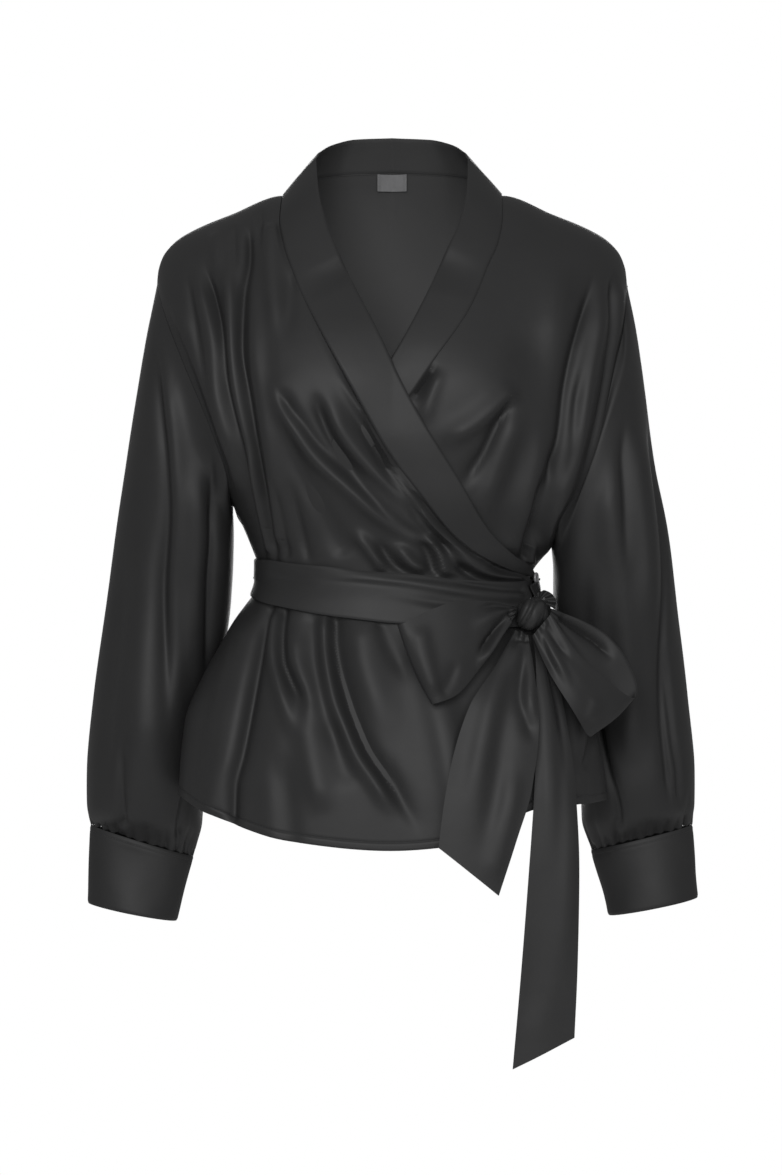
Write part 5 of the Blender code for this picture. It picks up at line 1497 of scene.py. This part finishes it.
# ---- Tails ----------------------------------------------------------------------------------
# The free ends of the sash hang from the knot: a short one swung toward the middle and a long
# one straight down. Both are cut to a slant and spread to the sash's width as they fall.

SHORT_TAIL = [
    Strip(0.1120, -0.0950, -0.4080, 0.1240, -0.0980, -0.4120),
    Strip(0.0930, -0.1190, -0.4400, 0.1290, -0.1150, -0.4480),
    Strip(0.0700, -0.1360, -0.4740, 0.1325, -0.1280, -0.4900),
    Strip(0.0530, -0.1460, -0.5270, 0.1260, -0.1390, -0.5480),
    Strip(0.0460, -0.1510, -0.5650, 0.1120, -0.1480, -0.5940),
    Strip(0.0415, -0.1540, -0.6010, 0.0955, -0.1530, -0.6440),
]
LONG_TAIL = [
    Strip(0.1280, -0.0880, -0.4130, 0.1380, -0.0850, -0.4110),
    Strip(0.1300, -0.1010, -0.4400, 0.1480, -0.0900, -0.4400),
    Strip(0.1310, -0.1150, -0.4880, 0.1590, -0.1030, -0.4900),
    Strip(0.1285, -0.1270, -0.5510, 0.1660, -0.1170, -0.5540),
    Strip(0.1235, -0.1320, -0.6210, 0.1690, -0.1250, -0.6210),
    Strip(0.1170, -0.1340, -0.7050, 0.1675, -0.1290, -0.7050),
    Strip(0.1085, -0.1350, -0.8020, 0.1645, -0.1310, -0.7740),
]
SHORT_TAIL_CREASES = crease_table(
    ((0, -4, 6, -30, 10, -60, 22, -85, 32, -105), -4.2, 5, 6, 1.3, 0.05, 0.2),
    ((4, -6, 14, -40, 22, -70, 30, -90), 4, 6, 5, 2, 0.05, 0.3),
    ((-4, -6, -12, -60, -14, -120, -12, -190), 3.6, 9, 10, 2, 0.1, 0.4),
    ((-2, -20, 0, -80, 6, -150, 8, -220), -3, 9, 9, 1.8, 0.15, 0.3),
    ((16, -120, 22, -170, 22, -230), 2.6, 10, 8, 2, 0.3, 0.2),
)
LONG_TAIL_CREASES = crease_table(
    ((0, -4, 4, -40, 8, -90, 10, -140), -3, 3.2, 4, 1.25, 0.05, 0.45),
    ((-3, -4, -6, -60, -6, -140, -4, -230), 2.4, 7, 8, 2, 0.05, 0.4),
    ((8, -60, 14, -130, 14, -220, 10, -330), 2, 8, 8, 2, 0.25, 0.35),
    ((-14, -180, -12, -260, -14, -360), -1.6, 10, 10, 2, 0.35, 0.2),
)
tail_short = ribbon(
    "tail_short", SHORT_TAIL, SHORT_TAIL_CREASES, 0.0030, 6.0, pleats=(0.0012, 2)
)
tail_long = ribbon(
    "tail_long", LONG_TAIL, LONG_TAIL_CREASES, 0.0024, 7.0, pleats=(0.0012, 2)
)


# ---- Button ---------------------------------------------------------------------------------
# A small grey resin button at the wearer's left waist that closes the wrap under the sash: a
# turned disc with a raised rim and four holes, sewn on by its shank of thread.

BUTTON_RADIUS, BUTTON_THICK = 0.0050, 0.0026
BUTTON_X, BUTTON_Z, BUTTON_LIFT = 0.1255, -0.3565, 0.0092
HOLE_REACH, HOLE_RADIUS = 0.0013, 0.00055  # of the thread holes, from the centre

resin = Finish("button_resin", Coat_Weight=0.5, Coat_Roughness=0.08, Specular_IOR_Level=0.6)
resin_place = resin.node("ShaderNodeTexCoord", {}, {})["Object"]
cloud = resin.noise(resin_place, 320.0, 4.0)
resin.fill(
    resin.shader,
    {
        "Base Color": resin.colour(cloud, (0.16, 0.16, 0.165), (0.36, 0.36, 0.37)),
        "Roughness": 0.16 + 0.14 * cloud,
        "Normal": resin.bump(resin.noise(resin_place, 1400.0), 0.00003, 0.5),
    },
)
profile = [
    (0.00, -0.40), (0.70, -0.46), (0.90, -0.36), (1.00, -0.10), (1.00, 0.16), (0.95, 0.36),
    (0.86, 0.48), (0.76, 0.46), (0.68, 0.30), (0.58, 0.18), (0.30, 0.14), (0.00, 0.12),
]
form = bmesh.new()
sides = 48
rings = []
for reach, height in profile:
    if reach == 0:
        rings.append([form.verts.new((0, 0, height * BUTTON_THICK))])
        continue
    angles = np.arange(sides) / sides * 2 * np.pi
    reach, height = reach * BUTTON_RADIUS, height * BUTTON_THICK
    spots = [(math.cos(a) * reach, math.sin(a) * reach, height) for a in angles]
    rings.append([form.verts.new(spot) for spot in spots])
for low, high in zip(rings, rings[1:]):
    for place in range(sides):
        beside = (place + 1) % sides
        a, b = low[place % len(low)], low[beside % len(low)]
        c, d = high[beside % len(high)], high[place % len(high)]
        form.faces.new([v for i, v in enumerate((a, b, c, d)) if v not in (a, b, c, d)[:i]])
disc = bpy.data.meshes.new("button_disc")
bmesh.ops.recalc_face_normals(form, faces=form.faces)
form.to_mesh(disc)
form.free()
button = bpy.data.objects.new("button_disc", disc)
bpy.context.scene.collection.objects.link(button)
drill = bmesh.new()
for turn in range(4):
    angle = math.pi / 4 + turn * math.pi / 2
    spot = Matrix.Translation((HOLE_REACH * math.cos(angle), HOLE_REACH * math.sin(angle), 0))
    bmesh.ops.create_cone(
        drill, cap_ends=True, segments=16, radius1=HOLE_RADIUS, radius2=HOLE_RADIUS,
        depth=0.006, matrix=spot,
    )
drill_mesh = bpy.data.meshes.new("button_drill")
drill.to_mesh(drill_mesh)
drill.free()
drill = bpy.data.objects.new("button_drill", drill_mesh)
bpy.context.scene.collection.objects.link(drill)
holes = button.modifiers.new("Holes", "BOOLEAN")
holes.object, holes.operation, holes.solver = drill, "DIFFERENCE", "EXACT"
ready = button.evaluated_get(bpy.context.evaluated_depsgraph_get())
disc = bpy.data.meshes.new_from_object(ready)
button.modifiers.clear()
bpy.data.objects.remove(drill, do_unlink=True)
button.data = disc
disc.materials.clear()
disc.materials.append(resin.material)
spot_x, spot_z = np.array([BUTTON_X]), np.array([BUTTON_Z])
under, centre = (on_form(spot_x, spot_z, -1, np.array([lift]))[0] for lift in (0.0, BUTTON_LIFT))
facing = Vector(centre - under)
facing.z = 0
disc.transform(Matrix.Translation(centre) @ facing.to_track_quat("Z", "Y").to_matrix().to_4x4())
disc.shade_smooth()
disc.set_sharp_from_angle(angle=math.radians(40))
stands_for(button, "side_button")


# ---- Setting --------------------------------------------------------------------------------
# A plain pale floor well under the hanging top, a white surround, large soft lamps from the
# front and above, and a level camera a few steps in front of it.

paper = speckled("floor_paper", (0.80, 0.80, 0.80), (0.84, 0.84, 0.84), 3.0, Roughness=0.9)[0]
bpy.ops.mesh.primitive_circle_add(
    vertices=96, radius=2.2, fill_type="NGON", location=(0.0, 0.2, -1.75)
)
floor = bpy.context.object
floor.name = "floor"
floor.data.materials.append(paper.material)

world = bpy.data.worlds.new("white_surround")
bpy.context.scene.world = world
world.use_nodes = True
air = world.node_tree
air.nodes.clear()
seen, lit = air.nodes.new("ShaderNodeBackground"), air.nodes.new("ShaderNodeBackground")
seen.inputs["Color"].default_value = (1.0, 1.0, 1.0, 1.0)
seen.inputs["Strength"].default_value = 1.0
lit.inputs["Color"].default_value = (1.0, 1.0, 1.0, 1.0)
lit.inputs["Strength"].default_value = 0.27
path, blend = air.nodes.new("ShaderNodeLightPath"), air.nodes.new("ShaderNodeMixShader")
surround = air.nodes.new("ShaderNodeOutputWorld")
air.links.new(path.outputs["Is Camera Ray"], blend.inputs["Fac"])
air.links.new(lit.outputs["Background"], blend.inputs[1])
air.links.new(seen.outputs["Background"], blend.inputs[2])
air.links.new(blend.outputs["Shader"], surround.inputs["Surface"])


def lamp(name, place, size, power):
    """A large soft lamp aimed at the middle of the top."""
    light = bpy.data.lights.new(name, "AREA")
    light.shape, light.size, light.size_y, light.energy = "RECTANGLE", size[0], size[1], power
    rig = bpy.data.objects.new(name, light)
    bpy.context.scene.collection.objects.link(rig)
    rig.location = place
    aim = Vector((0.0, 0.0, -0.35)) - Vector(place)
    rig.rotation_euler = aim.to_track_quat("-Z", "Y").to_euler()


lamp("key", (-0.5, -3.3, 0.60), (1.6, 1.3), 47.0)
lamp("fill", (1.1, -3.2, 0.15), (1.4, 1.4), 13.0)
lamp("top", (0.0, -0.6, 2.0), (1.8, 1.2), 1.5)
lamp("behind", (0.0, 3.4, 0.3), (2.4, 2.0), 50.0)

view = bpy.data.cameras.new("front_view")
view.sensor_fit, view.sensor_height, view.sensor_width = "AUTO", 36.0, 36.0
view.lens = 104.3
camera = bpy.data.objects.new("front_view", view)
bpy.context.scene.collection.objects.link(camera)
camera.location = (-0.001, -3.2, -0.368)
camera.rotation_euler = (math.pi / 2, 0.0, 0.0)
bpy.context.scene.camera = camera
bpy.context.scene.view_settings.view_transform = "Standard"
